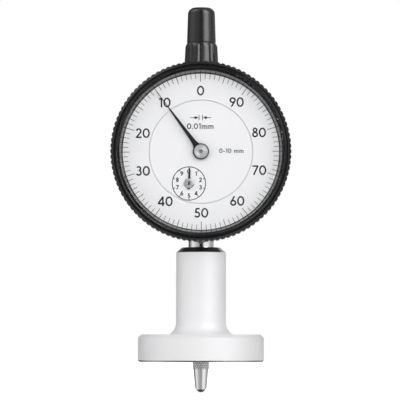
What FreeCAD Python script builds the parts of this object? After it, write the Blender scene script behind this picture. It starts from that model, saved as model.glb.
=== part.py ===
import FreeCAD, Part
import math
import os
from types import SimpleNamespace

import Sketcher

# Dial depth gauge, in millimetres.
# The origin is the centre of the base's measuring face, +Z runs up the spindle and the dial faces -Y.
# Places across the dial are given from the dial's centre, as (x, z), and depths from the spindle's axis.

PARTS_FOLDER = "parts"

SIZES = [
    ("dial_height", 66.25, "dial centre above the measuring face"),
    ("running_gap", 0.02, "radial clearance of a running fit"),
    ("free_gap", 0.3, "space between pieces that pass each other"),
    ("travel", 10.4, "stroke of the spindle"),
    ("base_d", 40.0, "base flange diameter"),
    ("base_thick", 8.7, "base flange thickness"),
    ("base_chamfer", 1.05, "chamfer round the top of the flange"),
    ("foot_chamfer", 0.5, "chamfer round the measuring face"),
    ("barrel_d", 15.8, "base barrel diameter"),
    ("root_radius", 4.5, "radius between barrel and flange"),
    ("root_rise", 3.9, "height of that radius above the flange"),
    ("barrel_room", 5.5, "top of the straight barrel below the case"),
    ("neck_rise", 1.55, "height of the barrel's top chamfer"),
    ("neck_in", 1.8, "width of the barrel's top chamfer"),
    ("crown_rise", 0.2, "height of the barrel's crown"),
    ("contact_bore_d", 6.0, "hole in the base round the contact point"),
    ("clamp_down", 7.75, "clamp screw below the top of the straight barrel"),
    ("clamp_screw_d", 4.0, "clamp screw diameter"),
    ("clamp_socket", 2.0, "hexagon socket of the clamp screw, across corners"),
    ("clamp_pad_thick", 1.0, "brass pad under the clamp screw"),
    ("clamp_sink", 0.3, "clamp screw below the barrel's surface"),
    ("stem_d", 8.0, "stem diameter"),
    ("stem_bore_d", 6.0, "stem bore"),
    ("stem_foot", 18.0, "lower end of the stem above the measuring face"),
    ("guide_length", 12.0, "lower guide bush length"),
    ("spindle_d", 5.0, "spindle diameter"),
    ("spindle_foot", 3.0, "lower end of the spindle"),
    ("spindle_in_cap", 5.2, "spindle beyond the boss under the cap"),
    ("point_thread_d", 2.5, "contact point thread"),
    ("point_thread_length", 6.0, "contact point thread length"),
    ("point_collar_d", 5.1, "contact point collar diameter"),
    ("point_collar_low", 2.2, "collar below the measuring face"),
    ("point_neck_d", 4.75, "contact point diameter under the collar"),
    ("point_end_d", 3.6, "contact point diameter at its lower end"),
    ("point_end_low", 8.4, "lower end of the taper below the measuring face"),
    ("point_lip_low", 8.85, "lip round the ball below the measuring face"),
    ("ball_d", 3.0, "contact ball diameter"),
    ("tip_low", 9.65, "ball's lowest point below the measuring face"),
    ("wheel_room", 2.35, "space round the wheels inside the case"),
    ("case_wall", 3.0, "case wall"),
    ("case_back", 6.4, "case's rear face behind the spindle axis"),
    ("shoulder_behind", 2.0, "case shoulder behind the rear of the front plate"),
    ("shoulder_width", 1.3, "width of the shoulder round the neck that carries the bezel"),
    ("cover_thick", 1.6, "rear cover thickness"),
    ("cover_chamfer", 0.6, "chamfer round the rear cover"),
    ("seal_wire_d", 0.9, "section of the O-rings"),
    ("seal_wall", 0.5, "wall outside the cover seal's groove"),
    ("stem_boss_d", 11.0, "boss in the case round the stem"),
    ("stem_in_case", 5.55, "stem and its boss inside the case's lowest point"),
    ("cap_boss_d", 10.6, "boss on the case under the cap"),
    ("cap_boss_high", 0.75, "height of that boss above the case"),
    ("post_d", 3.8, "screw posts in the case"),
    ("post_in", 1.7, "middle of a screw post inside the case wall"),
    ("cover_screw_d", 2.0, "rear cover screws"),
    ("cover_screw_length", 4.0, "rear cover screws, under the cover"),
    ("plate_screw_d", 1.6, "front plate screws"),
    ("plate_screw_length", 3.1, "front plate screws, behind the plate"),
    ("upper_bush_d", 7.0, "upper guide bush diameter"),
    ("bush_in_case", 5.55, "upper guide bush inside the case's highest point"),
    ("cap_thread_d", 6.6, "thread of the upper bush under the cap"),
    ("cap_thread_length", 5.7, "length of that thread"),
    ("stop_thick", 0.3, "rubber stop washer thickness"),
    ("skirt_d", 10.95, "cap skirt diameter at the bottom"),
    ("skirt_top_d", 10.2, "cap skirt diameter at the top"),
    ("skirt_length", 7.4, "cap skirt length"),
    ("cap_low_d", 9.2, "cap diameter above the skirt"),
    ("cap_high_d", 8.55, "cap diameter under its shoulder"),
    ("cap_step", 1.3, "height of the step above the skirt"),
    ("cap_body_length", 9.7, "cap length above that step"),
    ("cap_shoulder", 1.2, "height of the cap's shoulder"),
    ("cap_shoulder_radius", 3.6, "radius of the cap's shoulder"),
    ("cap_flat_d", 5.0, "flat on top of the cap"),
    ("cap_crown", 0.4, "height of the cap's crown"),
    ("cap_roof", 1.7, "thickness of the cap's closed end"),
    ("flutes", 9, "flutes round the cap skirt"),
    ("flute_radius", 1.5, "flute cutter radius"),
    ("flute_depth", 0.55, "flute depth"),
    ("flute_length", 5.4, "flute length below its round end"),
    ("flute_lean", 2.0, "front flute to the left of the middle, in degrees"),
    ("plate_front_back", 9.6, "rear of the front plate, in front of the spindle axis"),
    ("plate_thick", 1.0, "movement plate thickness"),
    ("rear_plate_room", 0.6, "rear plate to the screw posts"),
    ("rear_plate_space", 1.6, "space between rear plate and spindle"),
    ("pillar_d", 3.0, "movement pillars"),
    ("pillar_in", 2.3, "middle of a pillar inside the rear plate's edge"),
    ("pillar_screw_d", 1.4, "pillar screws"),
    ("dial_seat_high", 0.5, "raised seat for the dial disc"),
    ("dial_seat_d", 31.0, "outer diameter of that seat"),
    ("dial_seat_in_d", 25.0, "inner diameter of that seat"),
    ("dial_thick", 0.4, "dial sheet thickness"),
    ("dial_step", 0.1, "graduated ring in front of the inner disc"),
    ("dial_seam_d", 32.8, "inner diameter of the graduated ring"),
    ("dial_hole_d", 3.2, "holes in the dial disc for the hands"),
    ("window_in", 0.05, "visible dial inside the neck"),
    ("window_depth", 2.85, "dial to crystal gasket"),
    ("wall_spread", 0.95, "inner wall wider at the gasket than at the dial"),
    ("gasket_thick", 0.25, "crystal gasket thickness"),
    ("gasket_width", 0.65, "width of the crystal gasket"),
    ("crystal_thick", 1.3, "crystal thickness"),
    ("crystal_chamfer", 0.25, "chamfer round the crystal"),
    ("rim_width", 1.05, "knurled rim outside the groove"),
    ("bezel_lip", 0.5, "bezel in front of the crystal"),
    ("lip_in", 0.3, "width of the lip's inner slope"),
    ("lip_width", 0.35, "flat of the bezel lip"),
    ("groove_width", 0.55, "groove between lip and knurled rim"),
    ("groove_depth", 0.7, "depth of that groove"),
    ("rim_back", 0.3, "knurled rim behind the lip"),
    ("rim_slope", 1.1, "front chamfer of the knurled rim"),
    ("bezel_back_chamfer", 0.7, "rear chamfer of the bezel"),
    ("knurls", 100, "knurls round the bezel"),
    ("knurl_depth", 0.32, "knurl depth"),
    ("bezel_fit", 0.15, "radial clearance between bezel and neck"),
    ("wire_d", 0.7, "retaining wire diameter"),
    ("wire_forward", 2.3, "retaining wire in front of the case shoulder"),
    ("ring_forward", 0.95, "bezel O-ring in front of the case shoulder"),
    ("counter_x", 3.76, "small dial to the left of the centre"),
    ("gear_module", 0.195, "module of the wheels"),
    ("wheel_teeth", 100, "teeth of the two large wheels"),
    ("leaves", 10, "leaves of the centre pinion"),
    ("rack_pinion_teeth", 16, "teeth of the rack pinion"),
    ("counter_turn", 10.0, "travel for one turn of the small hand"),
    ("wheel_thick", 0.5, "wheel thickness"),
    ("wheel_space", 1.0, "front plate to the rack wheel"),
    ("wheel_step", 0.5, "rack wheel to the take-up wheel"),
    ("leaf_over", 0.4, "pinion leaves beyond the wheels, each side"),
    ("wheel_window_d", 4.2, "lightening holes in the wheels"),
    ("wheel_window_ring", 5.9, "distance of those holes from the wheel's centre"),
    ("arbor_d", 1.2, "arbor diameter"),
    ("pivot_d", 0.8, "pivot diameter"),
    ("bush_d", 2.6, "bearing bush diameter"),
    ("rack_face", 3.0, "width of the rack pinion"),
    ("cock_gap", 0.5, "spindle to the pinion cock"),
    ("cock_leg_d", 3.6, "legs of the pinion cock"),
    ("cock_out", 4.64, "legs beside the rack pinion"),
    ("cock_up", 4.45, "legs above and below the rack pinion"),
    ("collar_d", 7.6, "collar clamped on the spindle"),
    ("collar_length", 5.0, "length of that collar"),
    ("guide_pin_d", 1.6, "pin that keeps the spindle from turning"),
    ("guide_gap", 0.7, "collar to the guide rail"),
    ("rail_thick", 1.8, "guide rail thickness"),
    ("rail_back", 2.0, "guide rail behind the spindle axis"),
    ("rail_end", 1.6, "guide rail beyond its slot"),
    ("spring_x", 7.6, "return spring beside the spindle"),
    ("spring_low", 15.5, "spring post under the dial centre"),
    ("spring_pin_d", 1.4, "pin that pulls the spring"),
    ("spring_radius", 1.3, "mean radius of the return spring"),
    ("spring_wire_d", 0.4, "return spring wire"),
    ("spring_pitch", 0.8, "pitch of the return spring"),
    ("spring_start", 50, "turn at which its lowest coil starts, clear of the end discs' seams"),
    ("collet_d", 2.6, "hairspring collet diameter"),
    ("hairspring_high", 0.5, "hairspring strip height"),
    ("hairspring_strip", 0.1, "hairspring strip thickness"),
    ("hairspring_d", 11.0, "hairspring outer diameter"),
    ("hairspring_turns", 5, "turns of the hairspring"),
    ("stud_d", 1.0, "hairspring stud"),
    ("hand_turn", 36.4, "main hand to the left of zero, in degrees"),
    ("hand_length", 23.8, "main hand from its centre"),
    ("hand_ring_d", 5.0, "ring of the main hand"),
    ("hand_thick", 0.25, "main hand thickness"),
    ("hand_space", 1.25, "graduated ring to the main hand"),
    ("hub_d", 4.4, "main hand hub"),
    ("hub_thick", 0.6, "main hand hub thickness"),
    ("hub_shank_d", 2.4, "shank of the main hand hub"),
    ("hub_shank_length", 0.65, "shank of the hub behind the hand"),
    ("counter_lean", 3.0, "small hand to the right of its zero, in degrees"),
    ("counter_hand_length", 4.9, "small hand from its centre"),
    ("counter_hand_thick", 0.2, "small hand thickness"),
    ("counter_space", 0.5, "dial disc to the small hand"),
    ("counter_hub_d", 3.1, "small hand hub"),
    ("counter_hub_thick", 0.25, "small hand hub thickness"),
]


class Size:
    """A length that knows its number and the sheet expression that gives it."""

    def __init__(self, number, text):
        self.number = float(number)
        self.text = text

    @staticmethod
    def of(value):
        return value if isinstance(value, Size) else Size(value, repr(float(value)))

    def __add__(self, other):
        other = Size.of(other)
        return Size(self.number + other.number, f"({self.text} + {other.text})")

    def __sub__(self, other):
        other = Size.of(other)
        return Size(self.number - other.number, f"({self.text} - {other.text})")

    def __mul__(self, other):
        other = Size.of(other)
        return Size(self.number * other.number, f"({self.text} * {other.text})")

    def __truediv__(self, other):
        other = Size.of(other)
        return Size(self.number / other.number, f"({self.text} / {other.text})")

    def __neg__(self):
        return Size(-self.number, f"(0 - {self.text})")

    def __radd__(self, other):
        return Size.of(other) + self

    def __rsub__(self, other):
        return Size.of(other) - self

    def __rmul__(self, other):
        return Size.of(other) * self


def root(size):
    """The square root of a size."""
    return Size(math.sqrt(size.number), f"sqrt({size.text})")


def make_sheet(doc):
    """Writes the driving sizes and returns the sheet with one named Size for each."""
    sheet = doc.addObject("Spreadsheet::Sheet", "Sizes")
    for row, (alias, value, note) in enumerate(SIZES, start=1):
        sheet.set(f"A{row}", note)
        sheet.set(f"B{row}", str(value))
        sheet.setAlias(f"B{row}", alias)
    doc.recompute()
    named = {alias: Size(sheet.get(alias), f"{sheet.Name}.{alias}") for alias, _, _ in SIZES}
    return sheet, SimpleNamespace(**named)


doc = FreeCAD.newDocument("DialDepthGauge")
sheet, dim = make_sheet(doc)
cuts = []


def bind(thing, name, size):
    """Drives one property of an object from the sheet."""
    thing.setExpression(name, Size.of(size).text)


def put(thing, place, rotation=None):
    """Places an object, with each coordinate driven from the sheet."""
    x, y, z = [Size.of(value) for value in place]
    base = FreeCAD.Vector(x.number, y.number, z.number)
    thing.Placement = FreeCAD.Placement(base, rotation or FreeCAD.Rotation())
    for name, size in (("x", x), ("y", y), ("z", z)):
        bind(thing, f"Placement.Base.{name}", size)


ALONG = {
    "x": FreeCAD.Rotation(FreeCAD.Vector(0, 1, 0), 90),
    "y": FreeCAD.Rotation(FreeCAD.Vector(1, 0, 0), -90),
    "z": FreeCAD.Rotation(),
}


def rod(label, radius, length, place, axis="y"):
    """A cylinder that starts at a place and runs along one axis."""
    thing = doc.addObject("Part::Cylinder", label)
    bind(thing, "Radius", radius)
    bind(thing, "Height", length)
    put(thing, place, ALONG[axis])
    return thing


def block(label, lengths, place):
    """A box from its lowest corner."""
    thing = doc.addObject("Part::Box", label)
    for name, length in zip(("Length", "Width", "Height"), lengths):
        bind(thing, name, length)
    put(thing, place)
    return thing


def hoop(label, ring_radius, wire_radius, place, axis="y"):
    """A torus about one axis."""
    thing = doc.addObject("Part::Torus", label)
    bind(thing, "Radius1", ring_radius)
    bind(thing, "Radius2", wire_radius)
    put(thing, place, ALONG[axis])
    return thing


def ball(label, radius, place):
    """A sphere."""
    thing = doc.addObject("Part::Sphere", label)
    bind(thing, "Radius", radius)
    put(thing, place)
    return thing


def group(label, pieces):
    """Separate solids under one name."""
    thing = doc.addObject("Part::Compound", label)
    thing.Links = pieces
    return thing


def fuse(label, pieces):
    """One solid made of several."""
    thing = doc.addObject("Part::MultiFuse", label)
    thing.Shapes = pieces
    return thing


def cut(label, blank, tools):
    """A blank with one or more tools cut out of it."""
    thing = doc.addObject("Part::Cut", label)
    thing.Base = blank
    thing.Tool = tools[0] if len(tools) == 1 else group(label + "_tools", tools)
    cuts.append(thing)
    return thing


def feature(label, shape, place, turn=0.0, axis=(0, 1, 0)):
    """A shape made from the sheet's sizes, then placed. turn is about the axis, in degrees."""
    thing = doc.addObject("Part::Feature", label)
    thing.Shape = shape
    put(thing, place, FreeCAD.Rotation(FreeCAD.Vector(*axis), turn))
    return thing


def origin_plane(body, role):
    """One of a body's own origin planes."""
    return next(plane for plane in body.Origin.OriginFeatures if plane.Role == role)


def arc_between(start, end, radius):
    """The short arc between two points, and whether it runs from start to end.

    A positive radius puts the centre on the left of the way from start to end.
    """
    middle = (start + end) / 2
    way = end - start
    left = FreeCAD.Vector(-way.y, way.x, 0) / way.Length
    rise = math.sqrt(radius**2 - (way.Length / 2) ** 2)
    centre = middle + left * math.copysign(rise, radius)
    first, last = (start, end) if radius > 0 else (end, start)
    circle = Part.Circle(centre, FreeCAD.Vector(0, 0, 1), abs(radius))
    angles = [math.atan2(point.y - centre.y, point.x - centre.x) for point in (first, last)]
    return Part.ArcOfCircle(circle, angles[0], angles[1]), radius > 0


def draw_outline(sketch, points):
    """A closed outline whose corners are driven from the sheet.

    Each point is (across, along), or (across, along, radius) where an arc arrives at it.
    """
    corners = [(Size.of(point[0]), Size.of(point[1])) for point in points]
    spots = [FreeCAD.Vector(across.number, along.number, 0) for across, along in corners]
    starts = []
    rules = []
    for index, spot in enumerate(spots):
        following = (index + 1) % len(spots)
        if len(points[following]) == 3:
            radius = Size.of(points[following][2])
            curve, forward = arc_between(spot, spots[following], radius.number)
            starts.append((1, 2) if forward else (2, 1))
            size = radius if forward else -radius
            rules.append(("Radius", (index,), size))
        else:
            curve = Part.LineSegment(spot, spots[following])
            starts.append((1, 2))
        sketch.addGeometry(curve, False)
    joins = []
    for index, (across, along) in enumerate(corners):
        following = (index + 1) % len(corners)
        joins.append(Sketcher.Constraint("Coincident", index, starts[index][1],
                                         following, starts[following][0]))
        for kind, size, axis in (("DistanceX", across, -2), ("DistanceY", along, -1)):
            if size.text == "0.0":
                joins.append(Sketcher.Constraint("PointOnObject", index, starts[index][0], axis))
            else:
                rules.append((kind, (index, starts[index][0]), size))
    sketch.addConstraint(joins)
    first = sketch.ConstraintCount
    sketch.addConstraint([Sketcher.Constraint(kind, *where, size.number) for kind, where, size in rules])
    for offset, (_, _, size) in enumerate(rules):
        sketch.setExpression(f"Constraints[{first + offset}]", size.text)


def sketched(label, points, role):
    """A body with one sketch on one of its own origin planes."""
    body = doc.addObject("PartDesign::Body", label)
    sketch = body.newObject("Sketcher::SketchObject", label + "_outline")
    sketch.AttachmentSupport = (origin_plane(body, role), [""])
    sketch.MapMode = "FlatFace"
    draw_outline(sketch, points)
    return body, sketch


def turned(label, points, axis="y", place=None):
    """A body turned about its own axis from its half section, given as (radius, along) points."""
    body, sketch = sketched(label, points, "XY_Plane" if axis == "y" else "XZ_Plane")
    turn = body.newObject("PartDesign::Revolution", label + "_turn")
    turn.Profile = sketch
    turn.ReferenceAxis = (sketch, ["V_Axis"])
    turn.Angle = 360
    body.Tip = turn
    if place is None:
        place = on_dial(0, 0, 0) if axis == "y" else (0, 0, 0)
    put(body, place)
    return body


def sheet_metal(label, points, thick, place, turn):
    """A flat piece from its outline across the dial. Its thickness runs towards the front."""
    body, sketch = sketched(label, points, "XZ_Plane")
    pad = body.newObject("PartDesign::Pad", label + "_pad")
    pad.Profile = sketch
    bind(pad, "Length", thick)
    body.Tip = pad
    put(body, place, FreeCAD.Rotation(FreeCAD.Vector(0, 1, 0), turn))
    return body


def on_dial(x, y, z):
    """A place given from the dial's centre and the spindle's axis."""
    return (x, y, dim.dial_height + z)


def slotted_screw(label, spot, outer, inward, head_d, head_high, shank_d, shank_length):
    """A screw along Y at a spot of the dial, with its head's outer face at a depth.

    inward is +1 where the screw goes in from the front and -1 from the rear.
    """
    x, z = spot
    seat = outer + head_high * inward
    tip = seat + shank_length * inward
    low_head, low_shank = (outer, seat) if inward > 0 else (seat, tip)
    head = rod(label + "_head", head_d / 2, head_high, on_dial(x, low_head, z))
    shank = rod(label + "_shank", shank_d / 2, shank_length, on_dial(x, low_shank, z))
    whole = fuse(label + "_blank", [head, shank])
    slot_deep = head_high * 0.45
    slot_wide = head_d * 0.18
    slot_low = outer if inward > 0 else outer - slot_deep
    corner = on_dial(x - head_d / 2, slot_low, z - slot_wide / 2)
    slot = block(label + "_slot", (head_d, slot_deep, slot_wide), corner)
    return cut(label, whole, [slot])


def around(radius, angle):
    """A point of the dial's plane at a radius and an angle from +X towards +Z."""
    return FreeCAD.Vector(radius * math.cos(angle), 0, radius * math.sin(angle))


def tooth_outline(teeth, pitch_radius, addendum, dedendum, first_angle):
    """The outline of a spur wheel with straight-sided teeth, in the plane across the dial.

    The first tooth points at first_angle, in radians from +X towards +Z.
    """
    step = 2 * math.pi / teeth
    shape = [(-0.31, -dedendum), (-0.1, addendum), (0.1, addendum), (0.31, -dedendum)]
    corners = []
    for tooth in range(teeth):
        for share, rise in shape:
            corners.append(around(pitch_radius + rise, first_angle + (tooth + share) * step))
    return Part.makePolygon(corners + corners[:1])


def wheel(label, teeth, pitch_radius, module, first_angle, width, place):
    """A toothed disc whose width runs from a place towards the rear."""
    outline = tooth_outline(teeth, pitch_radius, ADDENDUM * module, DEDENDUM * module, first_angle)
    shape = Part.Face(outline).extrude(FreeCAD.Vector(0, width.number, 0))
    return feature(label, shape, place)


ADDENDUM = 0.9
DEDENDUM = 1.15
RACK_SLOPE = math.tan(math.radians(20))

# Radii and depths that several pieces share.
stem_r = dim.stem_d / 2
spindle_r = dim.spindle_d / 2
barrel_r = dim.barrel_d / 2
seal_r = dim.seal_wire_d / 2
arbor_r = dim.arbor_d / 2
pivot_r = dim.pivot_d / 2
bush_r = dim.bush_d / 2

# The train of wheels sets the case, the case sets the neck, and the neck sets the bezel.
centre_distance = dim.gear_module * (dim.wheel_teeth + dim.leaves) / 2
wheel_r = dim.gear_module * (dim.wheel_teeth / 2 + ADDENDUM)
case_in = centre_distance + wheel_r + dim.wheel_room
case_r = case_in + dim.case_wall
neck_r = case_r - dim.shoulder_width
window_r = neck_r - dim.window_in
window_top_r = window_r + dim.wall_spread
crystal_r = window_top_r + dim.gasket_width
post_ring = case_in - dim.post_in
rear_plate_r = post_ring - dim.post_d / 2 - dim.rear_plate_room
pillar_ring = rear_plate_r - dim.pillar_in

# Heights that the case carries with it.
barrel_high = dim.dial_height - case_r - dim.barrel_room
clamp_height = barrel_high - dim.clamp_down
stem_top = dim.dial_height - case_r + dim.stem_in_case
bush_low = dim.dial_height + case_r - dim.bush_in_case
cap_low = dim.dial_height + case_r + dim.cap_boss_high
spindle_high = cap_low + dim.spindle_in_cap

plate_back = -dim.plate_front_back
plate_front = plate_back - dim.plate_thick
shoulder = plate_back + dim.shoulder_behind
disc_back = plate_front - dim.dial_seat_high
disc_front = disc_back - dim.dial_thick
ring_front = disc_front - dim.dial_step
ring_back = ring_front + dim.dial_thick
neck_front = ring_back + dim.free_gap
gasket_back = ring_front - dim.window_depth
crystal_back = gasket_back - dim.gasket_thick
crystal_front = crystal_back - dim.crystal_thick
bezel_front = crystal_front - dim.bezel_lip
rear_plate_back = -(spindle_r + dim.rear_plate_space)
rear_plate_front = rear_plate_back - dim.plate_thick
cover_back = dim.case_back + dim.cover_thick
rack_wheel_front = plate_back + dim.wheel_space
take_up_front = rack_wheel_front + dim.wheel_thick + dim.wheel_step
hand_back = ring_front - dim.hand_space
hand_front = hand_back - dim.hand_thick
hub_front = hand_front - dim.hub_thick
counter_back = disc_front - dim.counter_space
counter_front = counter_back - dim.counter_hand_thick
cock_front = spindle_r + dim.cock_gap
cock_back = cock_front + dim.plate_thick

# The line through the three wheel centres, as a unit vector, and the places on it.
counter_z = root(centre_distance * centre_distance - dim.counter_x * dim.counter_x)
line_x = dim.counter_x / centre_distance
line_z = counter_z / centre_distance
line_angle = math.atan2(line_z.number, line_x.number)
rack_spot = (-dim.counter_x, -counter_z)
take_up_spot = (dim.counter_x, counter_z)
centre_spot = (Size.of(0), Size.of(0))


def beside_line(radius, degrees):
    """A spot at a distance from the dial's centre, turned from the line of the wheels."""
    c, s = math.cos(math.radians(degrees)), math.sin(math.radians(degrees))
    return (radius * (line_x * c - line_z * s), radius * (line_x * s + line_z * c))


post_spots = [beside_line(post_ring, turn) for turn in (45, 135, 225, 315)]
pillar_spots = [beside_line(pillar_ring, turn) for turn in (70, 110, 250, 290)]


def at(spot, y):
    """A place at a spot of the dial and a depth."""
    return on_dial(spot[0], y, spot[1])


# The rack and its pinion: one turn of the small hand for each counter_turn of travel.
rack_pitch_r = dim.counter_turn / (2 * math.pi)
rack_pitch = dim.counter_turn / dim.rack_pinion_teeth
rack_module = rack_pitch / math.pi
rack_line = -(dim.counter_x - rack_pitch_r)

# The collar on the spindle stops against the washer under the upper bush.
stop_low = bush_low - dim.stop_thick
collar_top = stop_low - dim.travel - dim.free_gap / 3
collar_low = collar_top - dim.collar_length
pin_height = collar_low + dim.collar_length / 2
pin_up = pin_height - dim.dial_height
collar_r = dim.collar_d / 2


def make_base():
    """Flange, barrel and the radius between them, bored for the stem and the contact point."""
    bore_r = dim.contact_bore_d / 2
    flange_r = dim.base_d / 2
    root_z = dim.base_thick + dim.root_rise
    reach = root(dim.root_radius * dim.root_radius - dim.root_rise * dim.root_rise)
    root_foot = barrel_r + dim.root_radius - reach
    neck_top = barrel_high + dim.neck_rise
    crown = neck_top + dim.crown_rise
    blank = turned("base_blank", [
        (bore_r, 0),
        (flange_r - dim.foot_chamfer, 0),
        (flange_r, dim.foot_chamfer),
        (flange_r, dim.base_thick - dim.base_chamfer),
        (flange_r - dim.base_chamfer, dim.base_thick),
        (root_foot, dim.base_thick),
        (barrel_r, root_z, -dim.root_radius),
        (barrel_r, barrel_high),
        (barrel_r - dim.neck_in, neck_top),
        (stem_r, crown),
        (stem_r, dim.stem_foot),
        (bore_r, dim.stem_foot),
    ], axis="z")
    hole = rod("clamp_hole", dim.clamp_screw_d / 2, barrel_r + 1, (0, 0, clamp_height))
    return cut("base", blank, [hole])


def make_clamp():
    """The socket set screw in the back of the barrel and the pad that it presses on the stem."""
    pad = rod("clamp_pad", dim.clamp_screw_d / 2 - dim.running_gap, dim.clamp_pad_thick,
              (0, stem_r, clamp_height))
    seat = stem_r + dim.clamp_pad_thick
    outer = barrel_r - dim.clamp_sink
    shank = rod("clamp_screw_blank", dim.clamp_screw_d / 2, outer - seat, (0, seat, clamp_height))
    deep = (outer - seat) / 2
    socket = doc.addObject("Part::Prism", "clamp_socket")
    socket.Polygon = 6
    bind(socket, "Circumradius", dim.clamp_socket / 2)
    bind(socket, "Height", deep)
    put(socket, (0, outer - deep, clamp_height), ALONG["y"])
    return [pad, cut("base_clamp_screw", shank, [socket])]


def make_stem():
    """The polished stem and the bush that guides the spindle in its lower end."""
    bore_r = dim.stem_bore_d / 2
    stem = turned("stem", [
        (bore_r, dim.stem_foot),
        (stem_r, dim.stem_foot),
        (stem_r, stem_top),
        (bore_r, stem_top),
    ], axis="z")
    guide_top = dim.stem_foot + dim.guide_length
    bush_bore = spindle_r + dim.running_gap
    bush = turned("lower_guide_bush", [
        (bush_bore, dim.stem_foot),
        (bore_r, dim.stem_foot),
        (bore_r, guide_top),
        (bush_bore, guide_top),
    ], axis="z")
    return [stem, bush]


def make_case():
    """The case ring with its neck, grooves, bosses and screw posts."""
    o_ring = shoulder - dim.ring_forward
    wire = shoulder - dim.wire_forward
    wire_half = dim.wire_d / 2 + dim.running_gap
    ring_half = seal_r + dim.running_gap
    ring_floor = neck_r - 2 * seal_r + dim.running_gap
    seal_out = case_r - dim.seal_wall
    shell = turned("case_shell", [
        (case_in, neck_front),
        (neck_r, neck_front),
        (neck_r, wire - wire_half),
        (neck_r - wire_half, wire - wire_half),
        (neck_r - wire_half, wire + wire_half),
        (neck_r, wire + wire_half),
        (neck_r, o_ring - ring_half),
        (ring_floor, o_ring - ring_half),
        (ring_floor, o_ring + ring_half),
        (neck_r, o_ring + ring_half),
        (neck_r, shoulder),
        (case_r, shoulder),
        (case_r, dim.case_back),
        (seal_out, dim.case_back),
        (seal_out, dim.case_back - 2 * seal_r),
        (seal_out - 2 * seal_r, dim.case_back - 2 * seal_r),
        (seal_out - 2 * seal_r, dim.case_back),
        (case_in, dim.case_back),
    ])
    boss_low = dim.dial_height - case_r + dim.case_wall / 2
    stem_boss = rod("stem_boss", dim.stem_boss_d / 2, stem_top - boss_low, (0, 0, boss_low), "z")
    cap_boss = rod("cap_boss", dim.cap_boss_d / 2, cap_low - bush_low,
                   (0, 0, bush_low), "z")
    posts = [rod(f"case_post_{n}", dim.post_d / 2, dim.case_back - plate_back, at(spot, plate_back))
             for n, spot in enumerate(post_spots)]
    blank = fuse("case_blank", [shell, stem_boss, cap_boss] + posts)
    tools = [
        rod("stem_hole", stem_r, stem_top, (0, 0, 0), "z"),
        rod("bush_hole", dim.upper_bush_d / 2, 2 * case_r, (0, 0, dim.dial_height), "z"),
    ]
    for n, spot in enumerate(post_spots):
        front = rod(f"front_tap_{n}", dim.plate_screw_d / 2, dim.plate_screw_length, at(spot, plate_back))
        rear = rod(f"rear_tap_{n}", dim.cover_screw_d / 2, dim.cover_screw_length,
                   at(spot, dim.case_back - dim.cover_screw_length))
        tools += [front, rear]
    return cut("case", blank, tools)


def make_cover():
    """The flat rear cover, its seal and its four screws."""
    blank = turned("cover_blank", [
        (0, dim.case_back),
        (case_r, dim.case_back),
        (case_r, cover_back - dim.cover_chamfer),
        (case_r - dim.cover_chamfer, cover_back),
        (0, cover_back),
    ])
    head_d = dim.cover_screw_d * 1.9
    head_high = dim.cover_thick * 0.6
    tools = []
    screws = []
    for n, spot in enumerate(post_spots):
        tools.append(rod(f"cover_hole_{n}", dim.cover_screw_d / 2, dim.cover_thick, at(spot, dim.case_back)))
        tools.append(rod(f"cover_sink_{n}", head_d / 2, head_high, at(spot, cover_back - head_high)))
        screws.append(slotted_screw(f"cover_screw_{n}", spot, cover_back, -1, head_d, head_high,
                                    dim.cover_screw_d,
                                    dim.cover_screw_length + dim.cover_thick - head_high))
    seal = hoop("rear_cover_seal", case_r - dim.seal_wall - seal_r, seal_r,
                on_dial(0, dim.case_back - seal_r, 0))
    return [cut("rear_cover", blank, tools), group("rear_cover_screws", screws), seal]


def make_upper_guide():
    """The upper guide bush, whose thread carries the cap, and the stop washer under it."""
    bore = spindle_r + dim.running_gap
    bush_r = dim.upper_bush_d / 2
    thread_r = dim.cap_thread_d / 2
    bush = turned("upper_guide_bush", [
        (bore, bush_low),
        (bush_r, bush_low),
        (bush_r, cap_low),
        (thread_r, cap_low),
        (thread_r, cap_low + dim.cap_thread_length),
        (bore, cap_low + dim.cap_thread_length),
    ], axis="z")
    hole = spindle_r + dim.free_gap
    washer = turned("stop_washer", [
        (hole, stop_low),
        (bush_r, stop_low),
        (bush_r, bush_low),
        (hole, bush_low),
    ], axis="z")
    return [bush, washer]


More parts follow.
